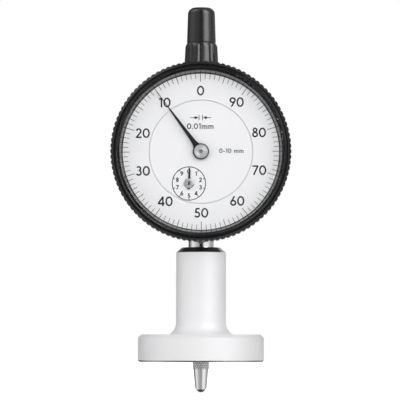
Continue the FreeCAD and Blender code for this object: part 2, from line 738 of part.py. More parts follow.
def make_cap():
    """The closed cap over the spindle's upper end, with a fluted skirt, and its seal."""
    skirt_top = cap_low + dim.skirt_length
    body_low = skirt_top + dim.cap_step
    body_top = body_low + dim.cap_body_length
    flat = body_top + dim.cap_shoulder
    crown = flat + dim.cap_crown
    thread_top = cap_low + dim.cap_thread_length + dim.free_gap
    recess = dim.cap_thread_d / 2 + 2 * seal_r + dim.running_gap
    bore = spindle_r + dim.free_gap
    blank = turned("cap_blank", [
        (recess, cap_low),
        (dim.skirt_d / 2, cap_low),
        (dim.skirt_top_d / 2, skirt_top),
        (dim.cap_low_d / 2, body_low),
        (dim.cap_high_d / 2, body_top),
        (dim.cap_flat_d / 2, flat, dim.cap_shoulder_radius),
        (0, crown),
        (0, crown - dim.cap_roof),
        (bore, crown - dim.cap_roof),
        (bore, thread_top),
        (dim.cap_thread_d / 2, thread_top),
        (dim.cap_thread_d / 2, cap_low + 2 * seal_r),
        (recess, cap_low + 2 * seal_r),
    ], axis="z")
    tools = []
    ring = dim.skirt_d / 2 + dim.flute_radius - dim.flute_depth
    count = int(dim.flutes.number)
    for n in range(count):
        angle = 2 * math.pi * n / count - math.radians(90 + dim.flute_lean.number)
        x, y = ring * math.cos(angle), ring * math.sin(angle)
        groove = rod(f"flute_groove_{n}", dim.flute_radius, dim.flute_length, (x, y, cap_low), "z")
        end = ball(f"flute_end_{n}", dim.flute_radius, (x, y, cap_low + dim.flute_length))
        tools.append(fuse(f"flute_{n}", [groove, end]))
    seal = hoop("cap_seal", dim.cap_thread_d / 2 + seal_r + dim.running_gap / 2, seal_r,
                (0, 0, cap_low + seal_r), "z")
    return [cut("dust_cap", blank, tools), seal]


def bushes(label, spots_and_bores, y):
    """Bearing bushes of one plate, given as spots with bore radii."""
    made = []
    for n, (spot, bore) in enumerate(spots_and_bores):
        blank = rod(f"{label}_blank_{n}", bush_r, dim.plate_thick, at(spot, y))
        hole = rod(f"{label}_bore_{n}", bore, dim.plate_thick, at(spot, y))
        made.append(cut(f"{label}_{n}", blank, [hole]))
    return group(label, made)


def make_plates():
    """The two movement plates with their pillars, screws and bearing bushes."""
    seat_out = dim.dial_seat_d / 2
    seat_in = dim.dial_seat_in_d / 2
    plate_r = case_in - dim.running_gap
    blank = turned("front_plate_blank", [
        (0, plate_front),
        (seat_in, plate_front),
        (seat_in, disc_back),
        (seat_out, disc_back),
        (seat_out, plate_front),
        (plate_r, plate_front),
        (plate_r, plate_back),
        (0, plate_back),
    ])
    fronts = [(centre_spot, arbor_r + dim.running_gap), (rack_spot, arbor_r + dim.running_gap),
              (take_up_spot, pivot_r + dim.running_gap)]
    rears = [(centre_spot, pivot_r + dim.running_gap), (take_up_spot, pivot_r + dim.running_gap)]
    tools = [rod(f"front_bush_hole_{n}", bush_r, dim.plate_thick, at(spot, plate_front))
             for n, (spot, _) in enumerate(fronts)]
    head_d = dim.plate_screw_d * 1.9
    head_high = dim.plate_thick * 0.6
    screws = []
    for n, spot in enumerate(post_spots):
        tools.append(rod(f"plate_hole_{n}", dim.plate_screw_d / 2, dim.plate_thick, at(spot, plate_front)))
        tools.append(rod(f"plate_sink_{n}", head_d / 2, head_high, at(spot, plate_front)))
        screws.append(slotted_screw(f"plate_screw_{n}", spot, plate_front, 1, head_d, head_high,
                                    dim.plate_screw_d,
                                    dim.plate_screw_length + dim.plate_thick - head_high))
    front = cut("front_plate", blank, tools)

    back_blank = rod("rear_plate_blank", rear_plate_r, dim.plate_thick,
                     on_dial(0, rear_plate_front, 0))
    tools = [rod(f"rear_bush_hole_{n}", bush_r, dim.plate_thick, at(spot, rear_plate_front))
             for n, (spot, _) in enumerate(rears)]
    tools.append(rod("rack_arbor_hole", arbor_r + dim.free_gap, dim.plate_thick,
                     at(rack_spot, rear_plate_front)))
    pillars = []
    pillar_screws = []
    screw_deep = dim.pillar_screw_d * 1.5
    length = rear_plate_front - plate_back
    for n, spot in enumerate(pillar_spots):
        pillar = rod(f"pillar_blank_{n}", dim.pillar_d / 2, length, at(spot, plate_back))
        tap = rod(f"pillar_tap_{n}", dim.pillar_screw_d / 2, screw_deep,
                  at(spot, rear_plate_front - screw_deep))
        pillars.append(cut(f"pillar_{n}", pillar, [tap]))
        tools.append(rod(f"pillar_hole_{n}", dim.pillar_screw_d / 2, dim.plate_thick,
                         at(spot, rear_plate_front)))
        head_high = dim.pillar_screw_d / 2
        pillar_screws.append(slotted_screw(f"pillar_screw_{n}", spot, rear_plate_back + head_high, -1,
                                           dim.pillar_screw_d * 2, head_high, dim.pillar_screw_d,
                                           screw_deep + dim.plate_thick))
    for n, z in enumerate(cock_heights):
        tools.append(rod(f"cock_tap_{n}", dim.plate_screw_d / 2, dim.plate_thick,
                         on_dial(cock_x, rear_plate_front, z)))
    rear = cut("rear_plate", back_blank, tools)
    return [front, group("front_plate_screws", screws), rear, group("plate_pillars", pillars),
            group("pillar_screws", pillar_screws), bushes("front_pivot_bushes", fronts, plate_front),
            bushes("rear_pivot_bushes", rears, rear_plate_front)]


cock_x = rack_spot[0] - dim.cock_out
cock_heights = (rack_spot[1] - dim.cock_up, rack_spot[1] + dim.cock_up)


def make_cock():
    """The bridge on two legs that carries the rack pinion's rear pivot, its bush and screws."""
    leg_r = dim.cock_leg_d / 2
    legs = [rod(f"cock_leg_{n}", leg_r, cock_front - rear_plate_back, on_dial(cock_x, rear_plate_back, z))
            for n, z in enumerate(cock_heights)]
    wide = dim.cock_out + bush_r + leg_r + dim.free_gap
    high = 2 * (dim.cock_up + leg_r)
    bar = block("cock_bar", (wide, dim.plate_thick, high),
                on_dial(cock_x - leg_r, cock_front, cock_heights[0] - leg_r))
    blank = fuse("cock_blank", [bar] + legs)
    tools = [rod("cock_bush_hole", bush_r, dim.plate_thick, at(rack_spot, cock_front))]
    screws = []
    for n, z in enumerate(cock_heights):
        tools.append(rod(f"cock_hole_{n}", dim.plate_screw_d / 2, cock_back - rear_plate_back,
                         on_dial(cock_x, rear_plate_back, z)))
        head_high = dim.plate_screw_d / 2
        screws.append(slotted_screw(f"cock_screw_{n}", (cock_x, z), cock_back + head_high, -1,
                                    dim.plate_screw_d * 1.8, head_high, dim.plate_screw_d,
                                    cock_back - rear_plate_front))
    return [cut("pinion_cock", blank, tools), group("cock_screws", screws),
            bushes("cock_bush", [(rack_spot, pivot_r + dim.running_gap)], cock_front)]


def make_guide_rail():
    """The slotted rail on the rear plate that keeps the spindle from turning."""
    right = -(collar_r + dim.guide_gap)
    pin_r = dim.guide_pin_d / 2
    slot_half = pin_r + dim.running_gap
    slot_low = pin_up - slot_half
    slot_high = pin_up + dim.travel + slot_half
    blank = block("rail_blank", (dim.rail_thick, dim.rail_back - rear_plate_back,
                                 slot_high - slot_low + 2 * dim.rail_end),
                  on_dial(right - dim.rail_thick, rear_plate_back, slot_low - dim.rail_end))
    slot = block("rail_slot", (dim.rail_thick, 2 * slot_half, slot_high - slot_low),
                 on_dial(right - dim.rail_thick, -slot_half, slot_low))
    return cut("guide_rail", blank, [slot])


def make_return_spring():
    """The post, and the extension spring that pulls the spindle down."""
    post_r = dim.spring_pin_d / 2
    post = rod("spring_post", post_r, dim.spring_radius + post_r - rear_plate_back,
               on_dial(dim.spring_x, rear_plate_back, -dim.spring_low))
    wire_r = dim.spring_wire_d / 2
    loop_r = post_r + dim.running_gap * 2 + wire_r
    low = dim.dial_height - dim.spring_low
    disc_high = 2 * wire_r
    coil_low = low + loop_r + wire_r / 2
    coil_high = pin_height - loop_r - wire_r / 2
    start = FreeCAD.Vector(dim.spring_radius.number, 0, 0)
    path = Part.makeHelix(dim.spring_pitch.number, (coil_high - coil_low).number, dim.spring_radius.number)
    section = Part.Wire(Part.makeCircle(wire_r.number, start, FreeCAD.Vector(0, 1, 0)))
    coil = feature("spring_coil", path.makePipeShell([section], True, True),
                   (dim.spring_x, 0, coil_low), dim.spring_start.number, (0, 0, 1))
    ends = [
        rod("spring_low_end", dim.spring_radius, disc_high, (dim.spring_x, 0, coil_low - wire_r), "z"),
        rod("spring_high_end", dim.spring_radius, disc_high, (dim.spring_x, 0, coil_high - wire_r), "z"),
        hoop("spring_low_loop", loop_r, wire_r, (dim.spring_x, 0, low), "y"),
        hoop("spring_high_loop", loop_r, wire_r, (dim.spring_x, 0, pin_height), "x"),
    ]
    return [post, fuse("return_spring", [coil] + ends)]


def make_dial():
    """The fixed inner disc with its two holes, and the graduated ring that turns with the bezel."""
    seam_r = dim.dial_seam_d / 2
    blank = rod("dial_disc_blank", seam_r - dim.bezel_fit, dim.dial_thick, on_dial(0, disc_front, 0))
    holes = [rod(f"hand_hole_{n}", dim.dial_hole_d / 2, dim.dial_thick, at(spot, disc_front))
             for n, spot in enumerate((centre_spot, rack_spot))]
    outer = neck_r + dim.bezel_fit
    ring = turned("dial_ring", [
        (seam_r, ring_front),
        (outer, ring_front),
        (outer, ring_back),
        (seam_r, ring_back),
    ])
    return [cut("dial_disc", blank, holes), ring]


def make_bezel():
    """The knurled bezel with its window wall, the crystal and the rings that hold them."""
    bore = neck_r + dim.bezel_fit
    back = shoulder - dim.free_gap
    wire = shoulder - dim.wire_forward
    groove_half = dim.wire_d / 2 + dim.free_gap / 3
    groove_r = neck_r + groove_half
    lip_low = crystal_r + dim.lip_in
    lip_high = lip_low + dim.lip_width
    groove_low = lip_high + dim.groove_width / 4
    groove_high = groove_low + dim.groove_width / 2
    rim = groove_high + dim.groove_width / 4
    tip_r = rim + dim.rim_width
    rim_front = bezel_front + dim.rim_back
    blank = turned("bezel_blank", [
        (bore, back),
        (tip_r - dim.bezel_back_chamfer, back),
        (tip_r, back - dim.bezel_back_chamfer),
        (tip_r, rim_front + dim.rim_slope),
        (rim, rim_front),
        (groove_high, bezel_front + dim.groove_depth),
        (groove_low, bezel_front + dim.groove_depth),
        (lip_high, bezel_front),
        (lip_low, bezel_front),
        (crystal_r, bezel_front + dim.lip_in),
        (crystal_r, gasket_back),
        (window_top_r, gasket_back),
        (window_r, ring_front),
        (bore, ring_front),
        (bore, wire - groove_half),
        (groove_r, wire - groove_half),
        (groove_r, wire + groove_half),
        (bore, wire + groove_half),
    ])
    count = int(dim.knurls.number)
    low_r = tip_r - dim.knurl_depth
    corners = []
    for n in range(count):
        for share, radius in ((-0.3, tip_r), (0.2, tip_r), (0.34, low_r), (0.56, low_r)):
            angle = 2 * math.pi * (n + share) / count
            corners.append(around(radius.number, angle))
    face = Part.Face(Part.makePolygon(corners + corners[:1]))
    knurl = feature("bezel_knurl", face.extrude(FreeCAD.Vector(0, (back - bezel_front).number, 0)),
                    on_dial(0, bezel_front, 0))
    bezel = doc.addObject("Part::Common", "bezel")
    bezel.Base = blank
    bezel.Tool = knurl

    edge = dim.crystal_chamfer
    crystal = turned("crystal", [
        (0, crystal_back),
        (crystal_r, crystal_back),
        (crystal_r, crystal_front + edge),
        (crystal_r - edge, crystal_front),
        (0, crystal_front),
    ])
    gasket = turned("crystal_gasket", [
        (window_top_r, crystal_back),
        (crystal_r, crystal_back),
        (crystal_r, gasket_back),
        (window_top_r, gasket_back),
    ])
    retaining = hoop("bezel_retaining_wire", neck_r, dim.wire_d / 2, on_dial(0, wire, 0))
    o_ring_y = shoulder - dim.ring_forward
    o_ring = hoop("bezel_o_ring", neck_r - seal_r + dim.running_gap, seal_r, on_dial(0, o_ring_y, 0))
    return [bezel, crystal, gasket, retaining, o_ring]


def make_spindle():
    """The spindle with its rack, and the contact point with its ball."""
    length = spindle_high - dim.spindle_foot
    shaft = rod("spindle_blank", spindle_r, length, (0, 0, dim.spindle_foot), "z")
    thread_r = dim.point_thread_d / 2
    tap = rod("spindle_tap", thread_r, dim.point_thread_length, (0, 0, dim.spindle_foot), "z")

    module = rack_module.number
    pitch = rack_pitch.number
    tips = rack_line.number - ADDENDUM * module
    roots = rack_line.number + DEDENDUM * module
    outside = -(spindle_r.number + module)
    middle = 0.28 * pitch
    at_tip = middle + ADDENDUM * module * RACK_SLOPE
    at_root = middle - DEDENDUM * module * RACK_SLOPE
    below = math.ceil(dim.travel.number / pitch) + 4
    spaces = range(-below, 5)
    low, high = (spaces[0] - 1) * pitch, (spaces[-1] + 1) * pitch
    corners = [(outside, low), (tips, low)]
    for n in spaces:
        for x, z in ((tips, -at_tip), (roots, -at_root), (roots, at_root), (tips, at_tip)):
            corners.append((x, n * pitch + z))
    corners += [(tips, high), (outside, high), corners[0]]
    face = Part.Face(Part.makePolygon([FreeCAD.Vector(x, 0, z) for x, z in corners]))
    cutter = feature("rack_cutter", face.extrude(FreeCAD.Vector(0, dim.spindle_d.number, 0)),
                     on_dial(0, -spindle_r, rack_spot[1]))
    spindle = cut("spindle", shaft, [tap, cutter])

    ball_r = dim.ball_d / 2
    ball_low = ball_r - dim.tip_low
    collar = dim.point_collar_d / 2
    lip_down = dim.point_lip_low + ball_low
    lip_r = root(ball_r * ball_r - lip_down * lip_down)
    blank = turned("contact_blank", [
        (0, -dim.point_lip_low),
        (lip_r, -dim.point_lip_low),
        (dim.point_end_d / 2, -dim.point_end_low),
        (dim.point_neck_d / 2, -dim.point_collar_low),
        (collar, -dim.point_collar_low),
        (collar, dim.spindle_foot),
        (thread_r, dim.spindle_foot),
        (thread_r, dim.spindle_foot + dim.point_thread_length),
        (0, dim.spindle_foot + dim.point_thread_length),
    ], axis="z")
    socket = ball("ball_socket", ball_r, (0, 0, ball_low))
    return [spindle, cut("contact_point", blank, [socket]), ball("contact_ball", ball_r, (0, 0, ball_low))]


def make_collar():
    """The collar on the spindle, with its screw and the pins for the guide rail and the spring."""
    blank = rod("collar_blank", collar_r, dim.collar_length, (0, 0, collar_low), "z")
    pin_r = dim.guide_pin_d / 2
    pull_r = dim.spring_pin_d / 2
    screw_r = dim.pillar_screw_d / 2
    tools = [
        rod("collar_bore", spindle_r, dim.collar_length, (0, 0, collar_low), "z"),
        rod("guide_pin_hole", pin_r, dim.collar_d, (-dim.collar_d, 0, pin_height), "x"),
        rod("spring_pin_hole", pull_r, dim.collar_d, (0, 0, pin_height), "x"),
        rod("collar_screw_hole", screw_r, dim.collar_d, (0, 0, pin_height)),
    ]
    reach = collar_r + dim.guide_gap + dim.rail_thick - spindle_r
    guide = rod("guide_pin", pin_r, reach, (-(reach + spindle_r), 0, pin_height), "x")
    pull = rod("spring_pin", pull_r, dim.spring_x + dim.spring_radius - spindle_r,
               (spindle_r, 0, pin_height), "x")
    head_high = dim.pillar_screw_d / 2
    screw = slotted_screw("collar_screw", (Size.of(0), pin_up), collar_r + head_high, -1,
                          dim.pillar_screw_d * 1.8, head_high, dim.pillar_screw_d, collar_r - spindle_r)
    return [cut("spindle_collar", blank, tools), guide, pull, screw]


def wheel_blank(label, spot, front, first_angle):
    """A large wheel with its lightening holes and a hole for its arbor."""
    radius = dim.gear_module.number * dim.wheel_teeth.number / 2
    blank = wheel(label + "_blank", int(dim.wheel_teeth.number), radius, dim.gear_module.number,
                  first_angle, dim.wheel_thick, at(spot, front))
    tools = [rod(label + "_bore", arbor_r, dim.wheel_thick, at(spot, front))]
    for n in range(5):
        angle = 2 * math.pi * n / 5
        window = (spot[0] + dim.wheel_window_ring * math.cos(angle),
                  spot[1] + dim.wheel_window_ring * math.sin(angle))
        tools.append(rod(f"{label}_window_{n}", dim.wheel_window_d / 2, dim.wheel_thick, at(window, front)))
    return cut(label, blank, tools)


def make_counter():
    """The rack pinion on its arbor, the rack wheel and the small hand with its hub."""
    tip = counter_front
    arbor = rod("rack_arbor", arbor_r, cock_front - dim.running_gap - tip, at(rack_spot, tip))
    pivot = rod("rack_pivot", pivot_r, dim.plate_thick, at(rack_spot, cock_front))
    neck = rod("rack_pivot_neck", pivot_r, dim.running_gap, at(rack_spot, cock_front - dim.running_gap))
    pinion = wheel("rack_leaves", int(dim.rack_pinion_teeth.number), rack_pitch_r.number,
                   rack_module.number, 0.0, dim.rack_face, at(rack_spot, -dim.rack_face / 2))
    rack_pinion = fuse("rack_pinion", [arbor, neck, pivot, pinion])
    rack_wheel = wheel_blank("rack_wheel", rack_spot, rack_wheel_front, line_angle)

    hub_r = dim.counter_hub_d / 2
    hub_front_y = counter_front - dim.counter_hub_thick
    half = 0.33
    tip_half = 0.17
    blade = sheet_metal("small_hand_blade", [
        (-half, 0),
        (half, 0),
        (tip_half, dim.counter_hand_length),
        (-tip_half, dim.counter_hand_length),
    ], dim.counter_hand_thick, at(rack_spot, counter_back), dim.counter_lean.number)
    bind(blade, "Placement.Rotation.Angle", dim.counter_lean)
    disc = rod("small_hand_disc", hub_r * 0.8, dim.counter_hand_thick, at(rack_spot, counter_front))
    hand_blank = fuse("small_hand_blank", [blade, disc])
    bore = rod("small_hand_bore", arbor_r, dim.counter_hand_thick, at(rack_spot, counter_front))
    hand = cut("small_hand", hand_blank, [bore])
    edge = dim.counter_hub_thick / 2
    hub = turned("small_hand_hub", [
        (0, hub_front_y),
        (hub_r - edge, hub_front_y),
        (hub_r, hub_front_y + edge),
        (hub_r, counter_front),
        (0, counter_front),
    ], place=on_dial(rack_spot[0], 0, rack_spot[1]))
    return [rack_pinion, rack_wheel, hand, hub]


def make_centre():
    """The centre pinion on its arbor, and the main hand with its hub."""
    tip = hand_front - dim.hub_thick / 2
    shoulder = rear_plate_front - dim.running_gap
    arbor = rod("centre_arbor", arbor_r, shoulder - tip, on_dial(0, tip, 0))
    pivot = rod("centre_pivot", pivot_r, rear_plate_back - shoulder, on_dial(0, shoulder, 0))
    first = line_angle + math.pi / dim.leaves.number
    leaf_low = rack_wheel_front - dim.leaf_over
    leaf_high = take_up_front + dim.wheel_thick + dim.leaf_over
    pinion_r = dim.gear_module.number * dim.leaves.number / 2
    leaves = wheel("centre_leaves", int(dim.leaves.number), pinion_r, dim.gear_module.number, first,
                   leaf_high - leaf_low, on_dial(0, leaf_low, 0))
    pinion = fuse("centre_pinion", [arbor, pivot, leaves])

    ring_r = dim.hand_ring_d / 2
    flare, waist, end, needle, point = 0.95, 0.68, 0.36, 0.13, 0.09
    foot = ring_r * 0.85
    blade_top = dim.hand_length * 0.67
    needle_foot = dim.hand_length * 0.73
    right = [(flare, foot), (waist, ring_r + waist), (end, blade_top), (needle, needle_foot),
             (point, dim.hand_length)]
    left = [(-across, along) for across, along in reversed(right)]
    blade = sheet_metal("hand_blade", right + left, dim.hand_thick, on_dial(0, hand_back, 0),
                        -dim.hand_turn.number)
    bind(blade, "Placement.Rotation.Angle", dim.hand_turn)
    disc = rod("hand_ring", ring_r, dim.hand_thick, on_dial(0, hand_front, 0))
    blank = fuse("main_hand_blank", [blade, disc])
    shank_r = dim.hub_shank_d / 2
    hand = cut("main_hand", blank, [rod("hand_bore", shank_r, dim.hand_thick, on_dial(0, hand_front, 0))])

    hub_r = dim.hub_d / 2
    edge = dim.hub_thick / 4
    shank_back = hand_back + dim.hub_shank_length
    hub = turned("main_hand_hub", [
        (0, hub_front),
        (hub_r - edge, hub_front),
        (hub_r, hub_front + edge),
        (hub_r, hand_front),
        (shank_r, hand_front),
        (shank_r, shank_back),
        (arbor_r, shank_back),
        (arbor_r, tip),
        (0, tip),
    ])
    return [pinion, hand, hub]


def make_take_up():
    """The take-up wheel that keeps the train free of backlash, with its arbor and hairspring."""
    low = plate_back + dim.running_gap
    high = rear_plate_front - dim.running_gap
    arbor = rod("take_up_shaft", arbor_r, high - low, at(take_up_spot, low))
    pivot_low = plate_front + dim.running_gap
    pivot_high = rear_plate_back - dim.running_gap
    pivots = rod("take_up_pivots", pivot_r, pivot_high - pivot_low, at(take_up_spot, pivot_low))
    shaft = fuse("take_up_arbor", [arbor, pivots])
    gear = wheel_blank("take_up_wheel", take_up_spot, take_up_front, line_angle + math.pi)

    collet_front = take_up_front + dim.wheel_thick + dim.free_gap * 2
    collet_r = dim.collet_d / 2
    collet_high = dim.hairspring_high + dim.free_gap
    blank = rod("collet_blank", collet_r, collet_high, at(take_up_spot, collet_front))
    bore = rod("collet_bore", arbor_r, collet_high, at(take_up_spot, collet_front))
    collet = cut("hairspring_collet", blank, [bore])

    strip = dim.hairspring_strip.number
    outer_r = dim.hairspring_d.number / 2
    turns = int(dim.hairspring_turns.number)
    steps = 12 * turns
    edges = []
    for offset in (0.0, strip):
        points = []
        for n in range(steps + 1):
            radius = collet_r.number + offset + (outer_r - strip - collet_r.number) * n / steps
            angle = 2 * math.pi * turns * n / steps
            points.append(around(radius, angle))
        curve = Part.BSplineCurve()
        curve.interpolate(points)
        edges.append(curve.toShape())
    ends = [Part.makeLine(edges[0].valueAt(edge), edges[1].valueAt(other))
            for edge, other in zip(edges[0].ParameterRange, edges[1].ParameterRange)]
    outline = Part.Wire(Part.__sortEdges__([edges[0], edges[1]] + ends))
    shape = Part.Face(outline).extrude(FreeCAD.Vector(0, dim.hairspring_high.number, 0))
    spring = feature("hairspring", shape, at(take_up_spot, collet_front))
    stud_x = take_up_spot[0] + dim.hairspring_d / 2 + dim.stud_d / 2 + dim.free_gap
    stud = rod("hairspring_stud", dim.stud_d / 2, rear_plate_front - collet_front,
               on_dial(stud_x, collet_front, take_up_spot[1]))
    return [shaft, gear, collet, spring, stud]


def check(nodes):
    """Stops on any object that failed, any cut that removed nothing and any bad shape."""
    doc.recompute()
    for thing in doc.Objects:
        if "Invalid" in thing.State or "Error" in thing.State:
            raise RuntimeError(f"{thing.Label} failed: {thing.State}")
    for thing in cuts:
        if thing.Shape.Volume >= thing.Base.Shape.Volume:
            raise RuntimeError(f"{thing.Label}: its tools cut nothing")
    for node in nodes:
        if node.Shape.isNull() or not node.Shape.isValid() or not node.Shape.Solids:
            raise RuntimeError(f"{node.Label}: its shape is not a valid solid")


def export(nodes):
    """Writes each sub-part under its own name."""
    os.makedirs(PARTS_FOLDER, exist_ok=True)
    for node in nodes:
        node.Shape.exportStep(os.path.join(PARTS_FOLDER, node.Label + ".step"))
        print(f"{node.Label:24s} {len(node.Shape.Solids)} solids {node.Shape.Volume:10.2f} mm3")


subparts = [make_base(), make_case(), make_guide_rail()]
for maker in (make_clamp, make_stem, make_cover, make_upper_guide, make_cap, make_plates, make_cock,
              make_return_spring, make_dial, make_bezel, make_spindle, make_collar, make_counter,
              make_centre, make_take_up):
    subparts += maker()
check(subparts)
export(subparts)
print(len(subparts), "sub-parts")
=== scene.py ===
"""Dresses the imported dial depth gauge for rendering.

All shapes are worked out in millimetres in the frame of the solids: the origin is the centre of the
measuring face, +Z runs up the spindle and the dial faces -Y. They become metres when a mesh is made.
"""

from __future__ import annotations

import functools
import logging
import math
from dataclasses import dataclass, field
from enum import Enum
from typing import Callable, Sequence

import bpy
import numpy as np
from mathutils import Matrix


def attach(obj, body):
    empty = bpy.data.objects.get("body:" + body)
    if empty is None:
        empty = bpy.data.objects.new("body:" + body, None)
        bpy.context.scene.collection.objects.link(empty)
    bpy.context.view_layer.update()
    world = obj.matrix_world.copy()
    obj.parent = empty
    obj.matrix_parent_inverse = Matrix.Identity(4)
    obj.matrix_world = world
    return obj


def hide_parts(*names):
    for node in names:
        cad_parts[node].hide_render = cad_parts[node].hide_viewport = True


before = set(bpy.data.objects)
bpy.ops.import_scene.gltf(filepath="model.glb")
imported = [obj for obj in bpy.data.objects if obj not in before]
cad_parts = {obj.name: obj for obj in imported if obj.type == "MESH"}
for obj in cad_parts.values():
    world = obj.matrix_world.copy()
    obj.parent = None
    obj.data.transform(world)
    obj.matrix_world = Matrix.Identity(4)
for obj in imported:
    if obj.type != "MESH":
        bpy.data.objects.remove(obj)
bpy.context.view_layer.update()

log = logging.getLogger("gauge")
MM = 0.001
DIAL_HEIGHT = 66.25
DIAL_SPOT = (0.0, DIAL_HEIGHT)
COUNTER_SPOT = (-3.76, DIAL_HEIGHT - 10.044)

Colour = tuple[float, float, float]
Pair = tuple[float, float]
Socket = bpy.types.NodeSocket
Material = bpy.types.Material
Swell = Callable[[np.ndarray, np.ndarray, np.ndarray], np.ndarray]


class Axis(Enum):
    """The line that a turned piece is turned about."""

    UP = "spindle"
    DIAL = "dial"


class Body(Enum):
    """The moving bodies that pieces ride on."""

    CASE = "case_assembly"
    BEZEL = "bezel_assembly"
    SPINDLE = "spindle_assembly"
    COUNTER = "counter_assembly"
    POINTER = "pointer_assembly"


# Surfaces


@dataclass
class Surface:
    """A closed shell: points in millimetres, with its four-sided and three-sided faces."""

    points: np.ndarray
    quads: np.ndarray
    tris: np.ndarray = field(default_factory=lambda: np.zeros((0, 3), int))

    def volume(self) -> float:
        """The signed volume, as the sum of a . (b x c) / 6 over its triangles."""
        corners = np.vstack([self.quads[:, [0, 1, 2]], self.quads[:, [0, 2, 3]], self.tris])
        a, b, c = (self.points[corners[:, n]] for n in range(3))
        return float(np.einsum("ij,ij->i", a, np.cross(b, c)).sum() / 6)

    def facing_out(self) -> Surface:
        """The same shell with its faces turned outwards."""
        if self.volume() >= 0:
            return self
        return Surface(self.points, self.quads[:, ::-1], self.tris[:, ::-1])

    def turned(self, degrees: float, centre: Pair) -> Surface:
        """The shell turned about the dial's line.

        Args:
            degrees: turn to the left as seen from the front.
            centre: the centre, as (x, z).
        """
        a = math.radians(degrees)
        x, z = self.points[:, 0] - centre[0], self.points[:, 2] - centre[1]
        points = self.points.copy()
        points[:, 0] = centre[0] + x * math.cos(a) - z * math.sin(a)
        points[:, 2] = centre[1] + x * math.sin(a) + z * math.cos(a)
        return Surface(points, self.quads, self.tris)


def joined(shells: Sequence[Surface]) -> Surface:
    """Several shells as one."""
    starts = np.cumsum([0] + [len(shell.points) for shell in shells[:-1]])
    return Surface(
        np.vstack([shell.points for shell in shells]),
        np.vstack([shell.quads + start for shell, start in zip(shells, starts)]),
        np.vstack([shell.tris + start for shell, start in zip(shells, starts)]),
    )


def grid_quads(rows: int, columns: int, wrap_rows: bool, wrap_columns: bool) -> np.ndarray:
    """The faces of a grid: (i, j), (i, j+1), (i+1, j+1), (i+1, j).

    Args:
        rows: points along the first direction.
        columns: points along the second direction.
        wrap_rows: the last row joins the first.
        wrap_columns: the last column joins the first.

    Returns:
        Point numbers, four to a face.
    """
    i = np.arange(rows if wrap_rows else rows - 1)[:, None]
    j = np.arange(columns if wrap_columns else columns - 1)[None, :]
    below, beside = (i + 1) % rows, (j + 1) % columns
    corners = [i * columns + j, i * columns + beside, below * columns + beside, below * columns + j]
    return np.stack(np.broadcast_arrays(*corners), axis=-1).reshape(-1, 4)


def capped(grid: np.ndarray, ends: np.ndarray) -> Surface:
    """A tube closed by a fan of faces to one point at each end.

    Args:
        grid: rows of points, each row once round the tube.
        ends: the two points that close it.

    Returns:
        The closed tube, facing outwards.
    """
    rows, columns = grid.shape[:2]
    here = np.arange(columns)
    following = (here + 1) % columns
    last, poles = (rows - 1) * columns, np.full(columns, rows * columns)
    start = np.stack([poles, following, here], axis=-1)
    end = np.stack([last + here, last + following, poles + 1], axis=-1)
    points = np.vstack([grid.reshape(-1, 3), ends])
    return Surface(points, grid_quads(rows, columns, False, True), np.vstack([start, end])).facing_out()


def eased(corners: Sequence[Pair], ease: float | Sequence[float], steps: int = 5) -> np.ndarray:
    """A profile with its corners rounded.

    Each corner C gives way to (1-t)^2 A + 2t(1-t) C + t^2 B, where A and B lie on its two sides at the
    distance of the ease from it.

    Args:
        corners: the profile's corners. The first and last stay as they are.
        ease: one distance, or one for each inner corner.
        steps: points for each rounded corner.

    Returns:
        The points of the rounded profile.
    """
    c = np.asarray(corners, float)
    back, ahead = c[:-2] - c[1:-1], c[2:] - c[1:-1]
    back_length = np.linalg.norm(back, axis=1)
    ahead_length = np.linalg.norm(ahead, axis=1)
    reach = np.broadcast_to(np.asarray(ease, float), back_length.shape)
    reach = np.minimum(reach, 0.45 * np.minimum(back_length, ahead_length))
    a = c[1:-1] + back * (reach / back_length)[:, None]
    b = c[1:-1] + ahead * (reach / ahead_length)[:, None]
    t = np.linspace(0, 1, steps)[None, :, None]
    arcs = (1 - t) ** 2 * a[:, None] + 2 * t * (1 - t) * c[1:-1, None] + t**2 * b[:, None]
    return np.vstack([c[:1], arcs.reshape(-1, 2), c[-1:]])


def filled(profile: np.ndarray, longest: float) -> np.ndarray:
    """A profile with points added evenly on each run, so that none is over the longest."""
    steps = np.diff(profile, axis=0)
    count = np.maximum(1, np.ceil(np.linalg.norm(steps, axis=1) / longest).astype(int))
    run = np.repeat(np.arange(len(steps)), count)
    first = np.repeat(np.cumsum(count) - count, count)
    share = (np.arange(len(run)) - first) / count[run]
    return np.vstack([profile[run] + share[:, None] * steps[run], profile[-1:]])


def revolved(
    profile: np.ndarray,
    segments: int,
    axis: Axis,
    centre: Pair = (0.0, 0.0),
    swell: Swell | None = None,
) -> Surface:
    """A turned shell: (r cos a, r sin a) across the axis and h along it, for each point (r, h).

    Args:
        profile: points (radius, height along the axis). One that starts and ends on the axis makes a
            solid of turning, and one that ends where it starts makes a ring.
        segments: steps of the angle a.
        axis: the line it is turned about.
        centre: that line's place, as (x, y) for UP and (x, z) for DIAL.
        swell: gives a new radius from arrays of radius, height and angle.

    Returns:
        The closed shell, facing outwards.
    """
    ring = bool(np.allclose(profile[0], profile[-1]))
    inner = profile[:-1] if ring else profile[1:-1]
    a = np.linspace(0, 2 * math.pi, segments, endpoint=False)[None, :]
    r, h = inner[:, :1], inner[:, 1:]
    r, h, a = np.broadcast_arrays(r, h, a)
    if swell:
        r = swell(r, h, a)
    points = on_axis(axis, centre, r, h, a)
    if not ring:
        return capped(points, on_axis(axis, centre, np.zeros(2), profile[[0, -1], 1], np.zeros(2)))
    return Surface(points.reshape(-1, 3), grid_quads(len(inner), segments, True, True)).facing_out()


